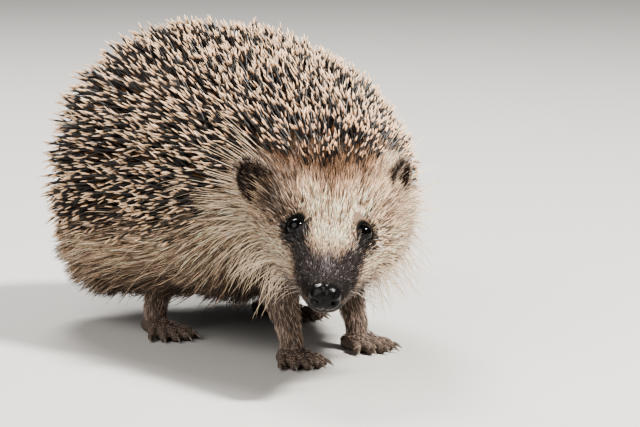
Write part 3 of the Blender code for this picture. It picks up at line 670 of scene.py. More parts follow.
def make_nose_look():
    """Wet black leather with small pebbles."""
    made, shader, nodes, links = look_of("wet_nose", roughness=0.28, specular=0.22)
    shader.inputs["Base Color"].default_value = (*rgb(12, 11, 12), 1)
    place = nodes.new("ShaderNodeTexCoord")
    pebbles = nodes.new("ShaderNodeTexVoronoi")
    pebbles.inputs["Scale"].default_value = 1700
    links.new(place.outputs["Object"], pebbles.inputs["Vector"])
    bumped(nodes, links, shader, pebbles.outputs["Distance"], distance=0.05 * MM, strength=0.6)
    return made


def make_eye_look():
    """A wet black eye, barely brown at its rim."""
    made, shader, nodes, links = look_of("wet_eye", roughness=0.05, specular=0.25)
    mottle = noise(nodes, links, scale=300, detail=2)
    tones = ramp(nodes, ((0.35, rgb(3, 3, 3)), (0.75, rgb(10, 7, 6))))
    links.new(mottle.outputs["Fac"], tones.inputs["Fac"])
    links.new(tones.outputs["Color"], shader.inputs["Base Color"])
    return made


def make_claw_look():
    """Horn, dark at the root and paler towards the tip."""
    made, shader, nodes, links = look_of("claw_horn", roughness=0.35, specular=0.5)
    tones = ramp(nodes, ((0.0, rgb(58, 50, 46)), (0.6, rgb(96, 86, 77)), (1.0, rgb(148, 137, 124))))
    links.new(attribute(nodes, "along").outputs["Fac"], tones.inputs["Fac"])
    links.new(tones.outputs["Color"], shader.inputs["Base Color"])
    return made


# ---------------------------------------------------------------- the skin

def eye_frame(sign):
    """An eye's centre, its way out, and its forward and upward axes."""
    point, normal, back, down = surface(np.array([EYE_U]), np.array([sign * EYE_ANGLE]))
    return point[0] - normal[0] * EYE_SINK, normal[0], -back[0], -down[0]


# Swellings and hollows of the head's skin: height in mm, place along the midline and spread in mm,
# angle from the top and spread in degrees.
HEAD_RELIEF = (
    (0.9, 37, 5, 31, 13),       # brow
    (-0.9, 26, 4.5, 62, 22),    # hollow before the eye
    (1.0, 31, 8, 98, 16),       # cheek
    (0.5, 7, 2.5, 80, 30),      # the nostril's wing
)
MOUTH_RISE = 7 * DEG            # the line on the skin is this much higher than MOUTH_ANGLE
MOUTH_DROPS = (20 * MM, 38 * MM)
MOUTH_GIRTH = 11 * MM           # the muzzle's radius at the mouth
MOUTH_DEPTH = 0.9 * MM
MOUTH_SPREAD = 0.55 * MM
MOUTH_STARTS = (5 * MM, 8 * MM)
MOUTH_ENDS = (27 * MM, 33 * MM)
LIP_HEIGHT = 0.35 * MM
LIP_ABOVE = 1.3 * MM            # the lip's crest stands this far above the line
LIP_SPREAD = 1.0 * MM


def head_relief(u, angle):
    """Height added to the head's skin: each swelling is a bump along times a bump around, and the
    mouth is a groove with a lip above it."""
    side = np.abs(angle)
    relief = 0
    for height, place, reach, turn, spread in HEAD_RELIEF:
        swelling = height * MM * bump(u - place * MM, reach * MM) * bump(side - turn * DEG, spread * DEG)
        relief = relief + swelling
    below = (side - (MOUTH_ANGLE - MOUTH_RISE + MOUTH_DROP * smooth(u, *MOUTH_DROPS))) * MOUTH_GIRTH
    mouth = -MOUTH_DEPTH * bump(below, MOUTH_SPREAD) * smooth(u, *MOUTH_STARTS)
    lip = LIP_HEIGHT * bump(below + LIP_ABOVE, LIP_SPREAD)
    return relief + (mouth + lip) * (1 - smooth(u, *MOUTH_ENDS))


LID_WIDTH = 3.15 * MM           # half the eye's opening, fore and aft
LID_HEIGHT = 2.85 * MM          # half the eye's opening, up and down
LID_THICKNESS = 0.3 * MM
# Each change is spread between two places, as multiples of the opening's size.
LID_EDGE = (0.9, 1.06)
LID_SLOPE = (1.15, 1.9)
LID_ENDS = (1.9, 2.3)
LID_BEHIND = (-1.5 * MM, 0.5 * MM)      # out from the eyeball's centre: nothing behind the first moves
SOCKET_DEPTH = 0.8 * MM         # the skin inside the opening lies this far under the eyeball's surface


def open_lids(points):
    """Push the skin round each eyeball out into a lid's rim, and inside the opening in behind it:
    each point's distance from the eyeball's centre becomes at least the rim's, or at most the
    socket's, with the one blended into the other at the opening's edge."""
    for sign in SIDES.values():
        centre, out, forward, over = eye_frame(sign)
        away = points - centre
        reach = np.linalg.norm(away, axis=-1)
        opening = np.hypot(away @ forward / LID_WIDTH, away @ over / LID_HEIGHT)
        facing = smooth(away @ out, *LID_BEHIND)
        rim = EYE_RADIUS + LID_THICKNESS * (1 - smooth(opening, *LID_SLOPE))
        lifted = np.maximum(reach, rim)
        sunk = np.minimum(reach, EYE_RADIUS - SOCKET_DEPTH)
        wanted = sunk + (lifted - sunk) * smooth(opening, *LID_EDGE)
        near = facing * (1 - smooth(opening, *LID_ENDS))
        points = centre + away * (1 + near * (wanted / reach - 1))[..., None]
    return points


BODY_RINGS = 250
BODY_SIDES = 180
BODY_END = 0.1 * MM             # the first and last rings are this far from the ends
FINE_STEPS = 2000


# How close the rings are over the body, and how much closer at the eyes and over the face.
RINGS_CLOSE = (0.6, 1.6, 0.75)
RINGS_AT_EYES = 7 * MM
RINGS_OVER_FACE = (20 * MM, 70 * MM)
SIDES_AT_EYES = (1.1, 16 * DEG)         # how much closer the points of a ring are at the eyes' angle


def ring_closeness(u):
    """How close the body's rings are along the midline: closest at the eyes, closer over the face."""
    body, eyes, face = RINGS_CLOSE
    return body + eyes * bump(u - EYE_U, RINGS_AT_EYES) + face * (1 - smooth(u, *RINGS_OVER_FACE))


def side_closeness(angle):
    """How close the points are round the body: closest at the eyes' angle."""
    return 1 + SIDES_AT_EYES[0] * bump(np.abs(angle) - EYE_ANGLE, SIDES_AT_EYES[1])


def make_body_shell():
    """The trunk, neck and head in one loft, its rings and points closest round the eyes."""
    fine = np.linspace(0, BODY_LENGTH, FINE_STEPS)
    run = np.cumsum(ring_closeness(fine))
    u = np.interp(np.linspace(0, 1, BODY_RINGS)[1:-1], run / run[-1], fine)
    turns = np.linspace(-math.pi, math.pi, FINE_STEPS + 1)
    run = np.cumsum(side_closeness(turns))
    angle = np.interp(np.linspace(0, 1, BODY_SIDES + 1)[:-1], (run - run[0]) / (run[-1] - run[0]), turns)
    u = np.concatenate([[BODY_END], u, [BODY_LENGTH - BODY_END]])
    u, angle = np.meshgrid(u, angle, indexing="ij")
    point, normal, _, _ = surface(u, angle)
    rings = open_lids(point + normal * head_relief(u, angle)[..., None])
    ends = midline(np.array([0.0, BODY_LENGTH]))[0]
    return closed_rings(rings, *ends)


def ringed(path, radii, sides, rounds):
    """Round rings along a curve through the path's points. Each coordinate and the radius are
    cubics through their values, with the slopes of their neighbours."""
    path, radii = np.array(path, float), np.array(radii, float)
    knots = np.arange(len(path)) / MM
    places = np.linspace(0, len(path) - 1, rounds)
    table = np.column_stack([knots * MM, path * TO_MM, radii * TO_MM])
    values = np.stack([spline(table, places * MM, k) for k in range(1, 5)], -1)
    middle, wide = values[:, :3], values[:, 3]
    along = unit(np.gradient(middle, axis=0))
    across = unit(np.array([1.0, 0, 0]) - along * along[:, :1])
    over = np.cross(across, along)
    turn = np.linspace(0, 2 * math.pi, sides, endpoint=False)[None, :, None]
    spokes = np.cos(turn) * across[:, None] + np.sin(turn) * over[:, None]
    return middle[:, None] + wide[:, None, None] * spokes, middle, along, wide


# Inward, backward and up from the ankle's place on the floor, and the skin's radius, in mm.
FORELEG_STATIONS = ((0, 9, 40, 9.0), (0, 8.5, 30, 7.2), (0, 6, 21, 5.6), (0, 2.5, 14, 4.2), (0, 0.5, 9, 3.7),
                    (0, 0, 4, 3.4))
HINDLEG_STATIONS = ((3, -8, 40, 11.0), (1, -6.5, 30, 9.0), (0, -4, 21, 6.6), (0, -1.5, 14, 4.5),
                    (0, -0.2, 9, 3.9), (0, 0, 4, 3.4))
# Ahead of the ankle, half width, height, in mm.
FOREPAW_STATIONS = ((-6.2, 2.6, 3.0), (-4.8, 4.4, 5.2), (-1, 5.7, 7.0), (3, 6.4, 6.4), (6.5, 6.4, 5.0),
                    (9, 5.4, 3.9), (10, 3.9, 2.9))
HINDPAW_STATIONS = ((-7.2, 2.6, 3.2), (-5.8, 4.2, 5.4), (-1, 4.9, 6.8), (6, 5.3, 5.6), (12, 6.1, 5.0),
                    (16, 6.3, 4.3), (19, 5.4, 3.6), (20, 3.9, 2.7))
# Sideways place of the root, length and radius in mm, splay in degrees.
FORETOES = ((-5, 2.2, 1.6, -30), (-2.7, 4.2, 1.75, -13), (0, 4.8, 1.8, 0), (2.7, 4.2, 1.75, 13),
            (5, 2.2, 1.6, 30))
HINDTOES = ((-5, 2.6, 1.6, -26), (-2.6, 4.8, 1.75, -11), (0, 5.4, 1.8, 0), (2.6, 4.8, 1.75, 11),
            (5, 2.6, 1.6, 26))
TOE_ROOT = 4.5                  # the roots lie this far behind the paw's front, in mm
TOE_FAN = 0.10                  # the outer roots lie this much further back, times their place ^ 1.5
TOE_FAN_POWER = 1.5
# Along a toe and along a claw: reach in mm, the share of the toe's length that is added to it, level
# in mm, and the radius as a share of the toe's or in mm.
TOE_STATIONS = ((0, 0, 2.5, 0.95), (2.2, 0, 3.0, 1.0), (4.5, 0, 2.9, 1.08), (4.5, 0.6, 2.2, 0.9),
                (4.6, 1, 1.7, 0.98), (5.9, 1, 1.5, 0.6))
CLAW_STATIONS = ((4.4, 1, 1.9, 0.55), (5.6, 1, 2.3, 0.72), (7.0, 1, 2.15, 0.62), (8.4, 1, 1.3, 0.36),
                 (9.2, 1, 0.55, 0.08))
LEG_SIDES = 28
LEG_RINGS = 30
SOLE_RINGS = 26
SOLE_SECTION = (0.42, 0.58)     # a point's share of the height: the first, and the second times cosine
TOE_SIDES = 16
TOE_RINGS = 18
TOE_FLOOR = 0.05 * MM           # the toes' under sides are flat at this height
CLAW_SIDES = 12
LIMB_VOXEL = 0.5 * MM


def limbs():
    """Each limb's name, ankle, inward sign, turn outwards and stations."""
    for side, sign in SIDES.items():
        yield ("fore", side, np.array([*FOREPAW_PLACES[side], 0.0]) * MM, -sign, sign * FOREPAW_TURN,
               FORELEG_STATIONS, FOREPAW_STATIONS, FORETOES)
        yield ("hind", side, np.array([*HINDPAW_PLACES[side], 0.0]) * MM, -sign, sign * HINDPAW_TURN,
               HINDLEG_STATIONS, HINDPAW_STATIONS, HINDTOES)


def paw_ways(turn):
    """Ahead and to the left along the floor, for a paw turned from straight ahead."""
    return np.array([math.sin(turn), -math.cos(turn), 0.0]), np.array([math.cos(turn), math.sin(turn), 0.0])


def leg_path(ankle, inward, stations):
    """The points down the middle of a leg and its radii."""
    table = np.array(stations, float) * MM
    path = ankle + np.stack([inward * table[:, 0], table[:, 1], table[:, 2]], -1)
    return path, table[:, 3]


def toe_roots(ankle, turn, stations, toes):
    """Root, way out, length and radius of each toe."""
    ahead, aside = paw_ways(turn)
    front = stations[-2][0] - TOE_ROOT
    for place, length, radius, splay in toes:
        aim = math.radians(splay)
        root = ankle + (ahead * (front - TOE_FAN * abs(place) ** TOE_FAN_POWER) + aside * place) * MM
        yield root, ahead * math.cos(aim) + aside * math.sin(aim), length * MM, radius * MM


def toe_path(root, out, length, radius, stations=TOE_STATIONS):
    """The points along the middle of a toe or claw and its radii, radius times the stations' last."""
    reach, share, level, thick = np.array(stations).T
    path = root + out * (reach * MM + length * share)[:, None] + UP * (level * MM)[:, None]
    return path, radius * thick


def make_limb(name, ankle, inward, turn, leg, sole, toes):
    """A leg, a sole with a flat under side and five toes, fused and smoothed."""
    ahead, aside = paw_ways(turn)
    shells = [closed_rings(ringed(*leg_path(ankle, inward, leg), LEG_SIDES, LEG_RINGS)[0])]
    lap = np.linspace(0, 2 * math.pi, LEG_SIDES, endpoint=False)
    table = np.array(sole, float) * MM
    spots, knots = np.linspace(0, 1, SOLE_RINGS), np.linspace(0, 1, len(table))
    reach, wide, tall = (np.interp(spots, knots, table[:, k]) for k in range(3))
    rings = ankle + reach[:, None, None] * ahead + (wide[:, None] * np.sin(lap))[..., None] * aside
    level = np.maximum(tall[:, None] * (SOLE_SECTION[0] + SOLE_SECTION[1] * np.cos(lap)), 0)
    shells.append(closed_rings(rings + level[..., None] * UP))
    for toe in toe_roots(ankle, turn, sole, toes):
        rings = ringed(*toe_path(*toe), TOE_SIDES, TOE_RINGS)[0]
        rings[..., 2] = np.maximum(rings[..., 2], TOE_FLOOR)
        shells.append(closed_rings(rings))
    limb = thing(name, make_mesh(name, *joined(shells)))
    fuse = limb.modifiers.new("fuse", "REMESH")
    fuse.mode = "VOXEL"
    fuse.voxel_size = LIMB_VOXEL
    relax = limb.modifiers.new("relax", "SMOOTH")
    relax.factor = 0.5
    relax.iterations = 3
    return thing(name, applied(limb))


def ear_sheet(side, sign):
    """The ear as a leaf bent into a cup: its points over the height s and the width t, their
    normals, and the ways that it faces, rises and spreads. The cup's depth goes as 1 - t², less a
    fold, and leans back as s². The width rises as a sine to the widest place, then rounds off."""
    point, _, _, _ = surface(np.array([EAR_U]), np.array([sign * EAR_ANGLE]))
    _, left, up = midline(np.array([EAR_U]))
    left, up, forward = left[0], up[0], heading(np.array([EAR_U]))[0]
    upward, sideways, ahead = EAR_RISES[side]
    rise = unit(up * upward + sign * left * sideways + forward * ahead)
    sideways, ahead = EAR_FACES[side]
    face = unit(sign * left * sideways + forward * ahead)
    face = unit(face - rise * (face @ rise))
    across = np.cross(face, rise)
    s = np.linspace(0, 1, EAR_ROWS)[:, None]
    t = np.linspace(-1, 1, EAR_COLUMNS)[None, :]
    root = EAR_ROOT_SHARE + (1 - EAR_ROOT_SHARE) * np.sin(s / EAR_WIDEST * math.pi / 2)
    beyond = np.clip((s - EAR_WIDEST) / (1 - EAR_WIDEST), 0, 1)
    tip = np.sqrt(np.clip(1 - beyond ** EAR_TIP_POWER, EAR_TIP_LEAST, 1))
    wide = EAR_WIDTH / 2 * np.where(s < EAR_WIDEST, root, tip)
    height = EAR_HEIGHT * (s - EAR_SUNK) * (1 - EAR_CORNER_DROP * t ** 2)
    fold = EAR_FOLD * bump(t - EAR_FOLD_T[0], EAR_FOLD_T[1]) * bump(s - EAR_FOLD_S[0], EAR_FOLD_S[1])
    depth = EAR_CUP * (1 - t ** 2) * (1 - EAR_TIP_FLATTER * s ** 2) + EAR_TIP_BACK * s ** 2 - fold
    points = point[0] + height[..., None] * rise + (wide * t)[..., None] * across - depth[..., None] * face
    normal = unit(np.cross(np.gradient(points, axis=0), np.gradient(points, axis=1)))
    return points, normal * np.sign((normal @ face).mean()), face, rise, across


def make_ear(side, sign):
    """The ear's cup with its thickness behind it."""
    front, normal, _, _, _ = ear_sheet(side, sign)
    return thing("ear_shell_" + side, make_mesh("ear", *closed_leaf(front, front - normal * EAR_THICKNESS)))


TAIL_SIDES = 20
TAIL_RINGS = 24


def make_tail():
    """A short tapering tube, backwards and down from the rump's under side."""
    point, normal, _, _ = surface(np.array([TAIL_U]), np.array([math.pi]))
    out = unit(normal[0] * TAIL_WAY[1] - heading(np.array([TAIL_U]))[0] * TAIL_WAY[0])
    reaches, radii = np.array(TAIL_STATIONS).T * MM
    rings = ringed(point[0] + out * reaches[:, None], radii, TAIL_SIDES, TAIL_RINGS)[0]
    return thing("tail_shell", make_mesh("tail", *closed_rings(rings)))


LOCATE_STEP = 4 * MM
LOCATE_PARTS = 24               # the points are taken in this many lots, to save memory
LOCATE_PULL = 0.05              # how much a section's distance counts beside its plane's
LOCATE_ROUNDS = 3


def locate(points):
    """Each point's u, angle and distance from the midline. The section is the one whose plane is
    nearest, moved along the midline by what is left of that distance, a few times over."""
    u = np.arange(0, BODY_LENGTH + LOCATE_STEP, LOCATE_STEP)
    centre, forward = midline(u)[0], heading(u)
    nearest = []
    for part in np.array_split(points, LOCATE_PARTS):
        away = part[:, None] - centre
        off = np.abs(np.einsum("ijk,jk->ij", away, forward)) + LOCATE_PULL * np.linalg.norm(away, axis=-1)
        nearest.append(u[off.argmin(1)])
    u = np.concatenate(nearest)
    for _ in range(LOCATE_ROUNDS):
        centre = midline(u)[0]
        u = np.clip(u - np.einsum("ij,ij->i", points - centre, heading(u)), 0, BODY_LENGTH)
    centre, left, up = midline(u)
    away = points - centre
    angle = np.arctan2(np.einsum("ij,ij->i", away, left), np.einsum("ij,ij->i", away, up))
    return u, angle, np.linalg.norm(away, axis=-1)


SKIN_SHADE_SHARE = 0.26               # the skin's brightness between the hairs, against theirs: painted shade between the hairs
LIMB_SKIN_SHADE_SHARE = 0.35               # and the legs' and the ears' against their own hair; the legs' darker skin is painted shade too
EAR_SHARE = 1.1
APART = (1.5 * MM, 4 * MM)      # what stands this far off the body's skin is a leg, the tail or an ear
EARS_FROM = (35 * MM, 45 * MM)  # legs are below this height and ears above it


def make_skin(look):
    """The body, legs, ears and tail joined into one closed skin, and coloured. Each place has the coat's
    colour there, darkened as painted shade between the hairs, and what stands apart from the body has the
    limbs' or the ears'."""
    body = thing("body_shell", make_mesh("body", *make_body_shell()))
    tools = [make_limb(kind + "limb_" + side, *rest) for kind, side, *rest in limbs()]
    tools += [make_ear(side, sign) for side, sign in SIDES.items()]
    tools.append(make_tail())
    for tool in tools:
        join = body.modifiers.new("join_" + tool.name, "BOOLEAN")
        join.operation = "UNION"
        join.object = tool
    mesh = applied(body)
    for tool in tools:
        bpy.data.objects.remove(tool)
    points = points_of(mesh)
    u, angle, reach = locate(points)
    excess = reach - girth(u, angle)
    # Painted shade between the hairs: the skin takes about a quarter of the coat's colour
    colour = marking(u, angle) * SKIN_SHADE_SHARE
    apart = smooth(excess, *APART)[:, None]
    high = smooth(points[:, 2], *EARS_FROM)[:, None]
    # The legs' skin is darkened the same way, as painted shade; the ears' is not
    limb, ear = LIMB * LIMB_SKIN_SHADE_SHARE, EAR * EAR_SHARE
    colour = colour + (limb + (ear - limb) * high - colour) * apart
    paint(mesh, "coat_colour", colour)
    mesh.polygons.foreach_set("use_smooth", np.ones(len(mesh.polygons), bool))
    return thing("skin", mesh, look)


# ---------------------------------------------------------------- eyes, nose and claws

def sphere_grid(rows, columns):
    """Polar angles from the third axis and turns round it, without the poles."""
    polar = np.linspace(0, math.pi, rows + 2)[1:-1, None]
    turn = np.linspace(0, 2 * math.pi, columns, endpoint=False)[None, :]
    return polar, turn


EYE_BULGE = 0.02                # how much further the ball reaches in front
EYE_BULGE_POWER = 6
EYE_GRID = (30, 48)


def make_eyeball(side, sign, look):
    """A ball, very slightly more curved in front: radius (1 + 0.02 cos⁶ of the polar angle)."""
    centre, out, forward, over = eye_frame(sign)
    polar, turn = sphere_grid(*EYE_GRID)
    radius = EYE_RADIUS * (1 + EYE_BULGE * np.clip(np.cos(polar), 0, 1) ** EYE_BULGE_POWER)
    spoke = (np.cos(polar)[..., None] * out + (np.sin(polar) * np.cos(turn))[..., None] * forward
             + (np.sin(polar) * np.sin(turn))[..., None] * over)
    rings = centre + radius[..., None] * spoke
    poles = centre + out * EYE_RADIUS * (1 + EYE_BULGE), centre - out * EYE_RADIUS
    eye = thing("eyeball_" + side, make_mesh("eyeball", *closed_rings(rings, *poles)), look)
    return keep(eye, "eye_black", "eye_" + side)


# The nose pad's own measures are shares of its size: x sideways, y up and z forward are 1 at its edge.
NOSE_GRID = (90, 128)
NOSE_POWER = 2.5                # 2 is round, more is squarer
GROOVE = (0.10, 0.09)           # depth and half width
GROOVE_FACE = (0.2, 0.6)        # it is on the face of the pad, in z
GROOVE_ENDS = (0.15, 0.6)       # and in its lower part, in y
CREASE = (0.05, 0.12)           # the same over the top
CREASE_STARTS = (0.3, 0.7)
NOSTRIL_DEPTH = 0.30
NOSTRIL_AT = 0.60               # sideways
NOSTRIL_SPREAD = (0.20, 0.16)   # sideways and up
NOSTRIL_BEND = (-0.12, 0.55, 0.5)       # height, curve, and where it is lowest, sideways
NOSTRIL_FACE = (0.1, 0.4)
WING_HEIGHT = 0.07
WING_ABOVE = 0.36               # the nostril
WING_SPREAD = (0.25, 0.16)
WING_FACE = (0.0, 0.4)
NOSE_RUB = 0.012                # uneven by this much, about NOSE_RUB_SIZE from crest to crest
NOSE_RUB_SIZE = 0.35


def make_nose(look):
    """The nose pad: an ellipsoid, a little square, so that |x|^p + |y|^p + |z|^p = 1, with a groove
    down the middle of its face and a comma of a nostril pressed in on each side."""
    centre, left, up = midline(np.array([NOSE_U]))
    left, up, forward = left[0], up[0], heading(np.array([NOSE_U]))[0]
    centre = centre[0] + up * NOSE_LIFT
    polar, turn = sphere_grid(*NOSE_GRID)
    x, y, z = np.sin(polar) * np.cos(turn), np.sin(polar) * np.sin(turn), np.cos(polar) + 0 * turn
    powers = np.abs(x) ** NOSE_POWER + np.abs(y) ** NOSE_POWER + np.abs(z) ** NOSE_POWER
    swell = 1 / powers ** (1 / NOSE_POWER)
    groove = GROOVE[0] * bump(x, GROOVE[1]) * smooth(z, *GROOVE_FACE) * (1 - smooth(y, *GROOVE_ENDS))
    crease = CREASE[0] * bump(x, CREASE[1]) * smooth(y, *CREASE_STARTS)
    side = np.abs(x)
    low, curve, lowest = NOSTRIL_BEND
    above = y - (low + curve * (side - lowest) ** 2)
    nostril = NOSTRIL_DEPTH * bump(above, NOSTRIL_SPREAD[1]) * bump(side - NOSTRIL_AT, NOSTRIL_SPREAD[0])
    nostril = nostril * smooth(z, *NOSTRIL_FACE)
    wing = WING_HEIGHT * bump(above - WING_ABOVE, WING_SPREAD[1]) * bump(side - NOSTRIL_AT, WING_SPREAD[0])
    wing = wing * smooth(z, *WING_FACE)
    rub = NOSE_RUB * ripple(np.stack([x, y, z], -1), NOSE_RUB_SIZE, 3)
    size = swell * (1 - groove - crease - nostril + wing + rub)
    wide, tall, deep = NOSE_RADII
    rings = centre + (size * x * wide)[..., None] * left + (size * y * tall)[..., None] * up
    rings = rings + (size * z * deep)[..., None] * forward
    poles = centre + forward * deep * float(size[0].mean()), centre - forward * deep
    pad = thing("nose_pad", make_mesh("nose_pad", *closed_rings(rings, *poles)), look)
    return keep(pad, "nose_leather", "nose")


def make_claws(look):
    """Five curved horns on each paw, each a tapering tube from inside the toe's tip to the ground."""
    for kind, side, ankle, _, turn, _, sole, toes in limbs():
        paths = [toe_path(root, out, length, MM, CLAW_STATIONS)
                 for root, out, length, _ in toe_roots(ankle, turn, sole, toes)]
        shells = [closed_rings(ringed(*path, CLAW_SIDES, CLAW_SIDES)[0]) for path in paths]
        along = np.concatenate([np.repeat(np.linspace(0, 1, CLAW_SIDES), CLAW_SIDES), [0, 1]])
        mesh = make_mesh("claws", *joined(shells))
        paint(mesh, "along", np.tile(along, len(shells)))
        keep(thing(f"claws_{kind}_{side}", mesh, look), "bare_skin")


# ---------------------------------------------------------------- the coat

# The coat's unwrap: the body's hairs have its lower part, the limbs' a strip above, the ears' its top.
PATCH = 0.003                   # each hair's patch
UNWRAP_MARGIN = 0.02
BODY_PATCHES = (0.96, 0.76)     # across and up
LIMB_PATCHES = (0.04, 0.24, 0.18)       # the first limb's start across, the step to the next, its width
LIMB_PATCHES_UP = (0.82, 0.16)
EAR_PATCHES = {"left": 0.04, "right": 0.52}
EAR_PATCHES_UP = 0.985
EAR_PATCHES_SIZE = (0.4, 0.01)


def body_patch(u, angle):
    """A place on the body's unwrap: round it across, along it up."""
    across, up = BODY_PATCHES
    across = UNWRAP_MARGIN + across * (angle / (2 * math.pi) + 0.5)
    return np.stack([across, UNWRAP_MARGIN + up * u / BODY_LENGTH], -1)


GOLDEN = (0.7548776662466927, 0.5698402909980532)       # 1 / g and 1 / g², with g³ = g + 1
UNEVEN = 0.25                   # how far places stray, as a share of their mean distance


def scatter(count, density, seed, low=0.0, high=BODY_LENGTH, rows=420, columns=361):
    """count places spread evenly over the skin, weighted by density(u, angle). A two-way golden
    sequence is pushed through the running sums of area times density: along u, then round it."""
    turns = np.linspace(-math.pi, math.pi, columns)
    u, angle = np.meshgrid(np.linspace(low, high, rows), turns, indexing="ij")
    grid = skin(u, angle)
    cell = np.linalg.norm(np.cross(np.gradient(grid, axis=0), np.gradient(grid, axis=1)), axis=-1)
    weight = cell * density(u, angle) + 1e-16
    row_sums = np.cumsum(weight.sum(1))
    source = np.random.default_rng(seed)
    k = np.arange(count) + source.uniform(0, 1000)
    a, b = ((k * step + source.normal(0, UNEVEN, count) / math.sqrt(count)) % 1 for step in GOLDEN)
    place = np.interp(a * row_sums[-1], row_sums, np.arange(rows))
    row = np.clip(np.round(place).astype(int), 0, rows - 1)
    around = np.cumsum(weight, axis=1)
    around = around / around[:, -1:]
    spot = np.searchsorted((around + np.arange(rows)[:, None]).ravel(), row + b) - row * columns
    spot = np.clip(spot, 1, columns - 1)
    before, after = around[row, spot - 1], around[row, spot]
    share = np.clip((b - before) / np.maximum(after - before, 1e-12), 0, 1)
    return np.interp(place, np.arange(rows), u[:, 0]), turns[spot - 1] + share * (turns[1] - turns[0])


ASKEW = np.array([0.31, 0.17, 0.53])    # added so that a ring's first axis is never along its spike
TINT_CHANGES = (0.05, 0.75)     # the colour passes from the root's to the tip's between these shares


def spikes(name, root, start, end, length, radius, profile, sides, shades, patch, look, pull=None):
    """Tapering solid spikes in one mesh. A spike's middle line is root + length ((t - t²/2) start +
    (t²/2) end) + t² pull. It has a ring of sides points at each (t, width) of the profile and a
    point at t = 1. shades is its colour at the root and at the tip."""
    count = len(root)
    t, width = np.array(profile).T
    t = np.append(t, 1.0)
    bend = t ** 2 / 2
    reach = (t - bend)[:, None] * start[:, None] + bend[:, None] * end[:, None]
    middle = root[:, None] + length[:, None, None] * reach
    if pull is not None:
        middle = middle + (t ** 2)[:, None] * pull[:, None]
    tangent = unit((1 - t)[:, None] * start[:, None] + t[:, None] * end[:, None])
    across = unit(np.cross(tangent, (np.roll(start, 1, -1) + ASKEW)[:, None]))
    over = np.cross(tangent, across)
    turn = 2 * math.pi * (np.arange(sides) / sides)[None, :]
    turn = (turn + randoms.uniform(0, 2 * math.pi, count)[:, None])[:, None, :, None]
    ring = np.cos(turn) * across[:, :-1, None] + np.sin(turn) * over[:, :-1, None]
    ring = middle[:, :-1, None] + (radius[:, None] * width)[..., None, None] * ring
    per_spike = len(width) * sides + 1
    points = np.concatenate([ring.reshape(count, -1, 3), middle[:, -1:]], 1)

    k = np.arange(sides)
    beside = (k + 1) % sides
    base = (np.arange(len(width) - 1) * sides)[:, None]
    quads = np.stack([base + k, base + beside, base + sides + beside, base + sides + k], -1).reshape(-1, 4)
    top = (len(width) - 1) * sides
    tips = np.stack([top + k, top + beside, np.full(sides, per_spike - 1)], -1)
    foot = k[::-1][None, :]
    offset = (np.arange(count) * per_spike)[:, None, None]
    faces = [(group + offset).reshape(-1, group.shape[1]) for group in (quads, tips, foot)]
    mesh = make_mesh(name, points, faces)

    along = np.append(np.repeat(t[:-1], sides), 1.0)
    low, high = shades
    mix = smooth(along, *TINT_CHANGES)[None, :, None]
    paint(mesh, "coat_colour", (low[:, None] + (high - low)[:, None] * mix).reshape(-1, 3))
    paint(mesh, "along", np.tile(along, count))
    spread = np.append(np.tile(np.cos(2 * math.pi * k / sides), len(width)), 0.0) / 2
    places = patch[:, None] + PATCH * np.stack([spread, along - 0.5], -1)
    corner = np.empty(len(mesh.loops), np.int32)
    mesh.loops.foreach_get("vertex_index", corner)
    unwrap = mesh.uv_layers.new(name="OFBake")
    unwrap.data.foreach_set("uv", places.reshape(-1, 2)[corner].ravel().astype(np.float32))
    return thing(name, mesh, look)


EYE_SWIRLS = (1.7, 1.0)         # how strongly hairs are turned from the eye, at their roots and tips
EYE_SWIRL_REACH = 5.5 * MM


def off_eyes(u, angle, lay, back, down, strength):
    """Turn the lay of the hair away from the eye that it grows beside."""
    along, across = u - EYE_U, (np.abs(angle) - EYE_ANGLE) * EYE_GIRTH
    away = unit(along[..., None] * back + across[..., None] * down)
    near = strength * bump(np.hypot(along, across), EYE_SWIRL_REACH)
    return unit(lay + near[..., None] * away)


def lay_ways(u, angle, lift, lift_end, sweep, sweep_end, sag):
    """The hair's ways at its root and at its tip: backwards, turned down the side by sweep, lifted
    off the skin by lift, and at the tip also pulled down by its weight."""
    _, normal, back, down = surface(u, angle)
    lay = back * np.cos(sweep)[..., None] + down * np.sin(sweep)[..., None]
    lay_end = back * np.cos(sweep_end)[..., None] + down * np.sin(sweep_end)[..., None]
    lay = off_eyes(u, angle, lay, back, down, EYE_SWIRLS[0])
    lay_end = off_eyes(u, angle, lay_end, back, down, EYE_SWIRLS[1])
    start = lay * np.cos(lift)[..., None] + normal * np.sin(lift)[..., None]
    end = lay_end * np.cos(lift_end)[..., None] + normal * np.sin(lift_end)[..., None]
    return unit(start), unit(end - sag[..., None] * UP)


SWEEP_STARTS = (15 * DEG, 75 * DEG)
SWEEP_ENDS = (140 * DEG, 172 * DEG)
THROAT_SIDES = (82 * DEG, 118 * DEG)
THROAT_STARTS = (18 * MM, 40 * MM)
THROAT_FADES = (80 * MM, 130 * MM)
THROAT_FADE = 0.75              # the share of it that is lost
FLANK_SIDES = (88 * DEG, 122 * DEG)
FLANK_STARTS = (96 * MM, 130 * MM)
SWEEPS = (8, 20, 24)            # degrees: over the sides, more on the throat, less along the flanks


def sweep_of(u, angle):
    """How far the hair's lay turns from backwards to downwards: little on top and along the flanks,
    most on the throat and under the cheeks."""
    side = np.abs(angle)
    sideways = smooth(side, *SWEEP_STARTS) * (1 - smooth(side, *SWEEP_ENDS))
    throat = smooth(side, *THROAT_SIDES) * (1 - THROAT_FADE * smooth(u, *THROAT_FADES))
    throat = throat * smooth(u, *THROAT_STARTS)
    under = smooth(side, *FLANK_SIDES) * smooth(u, *FLANK_STARTS)
    return sideways * (SWEEPS[0] + SWEEPS[1] * throat - SWEEPS[2] * under) * DEG


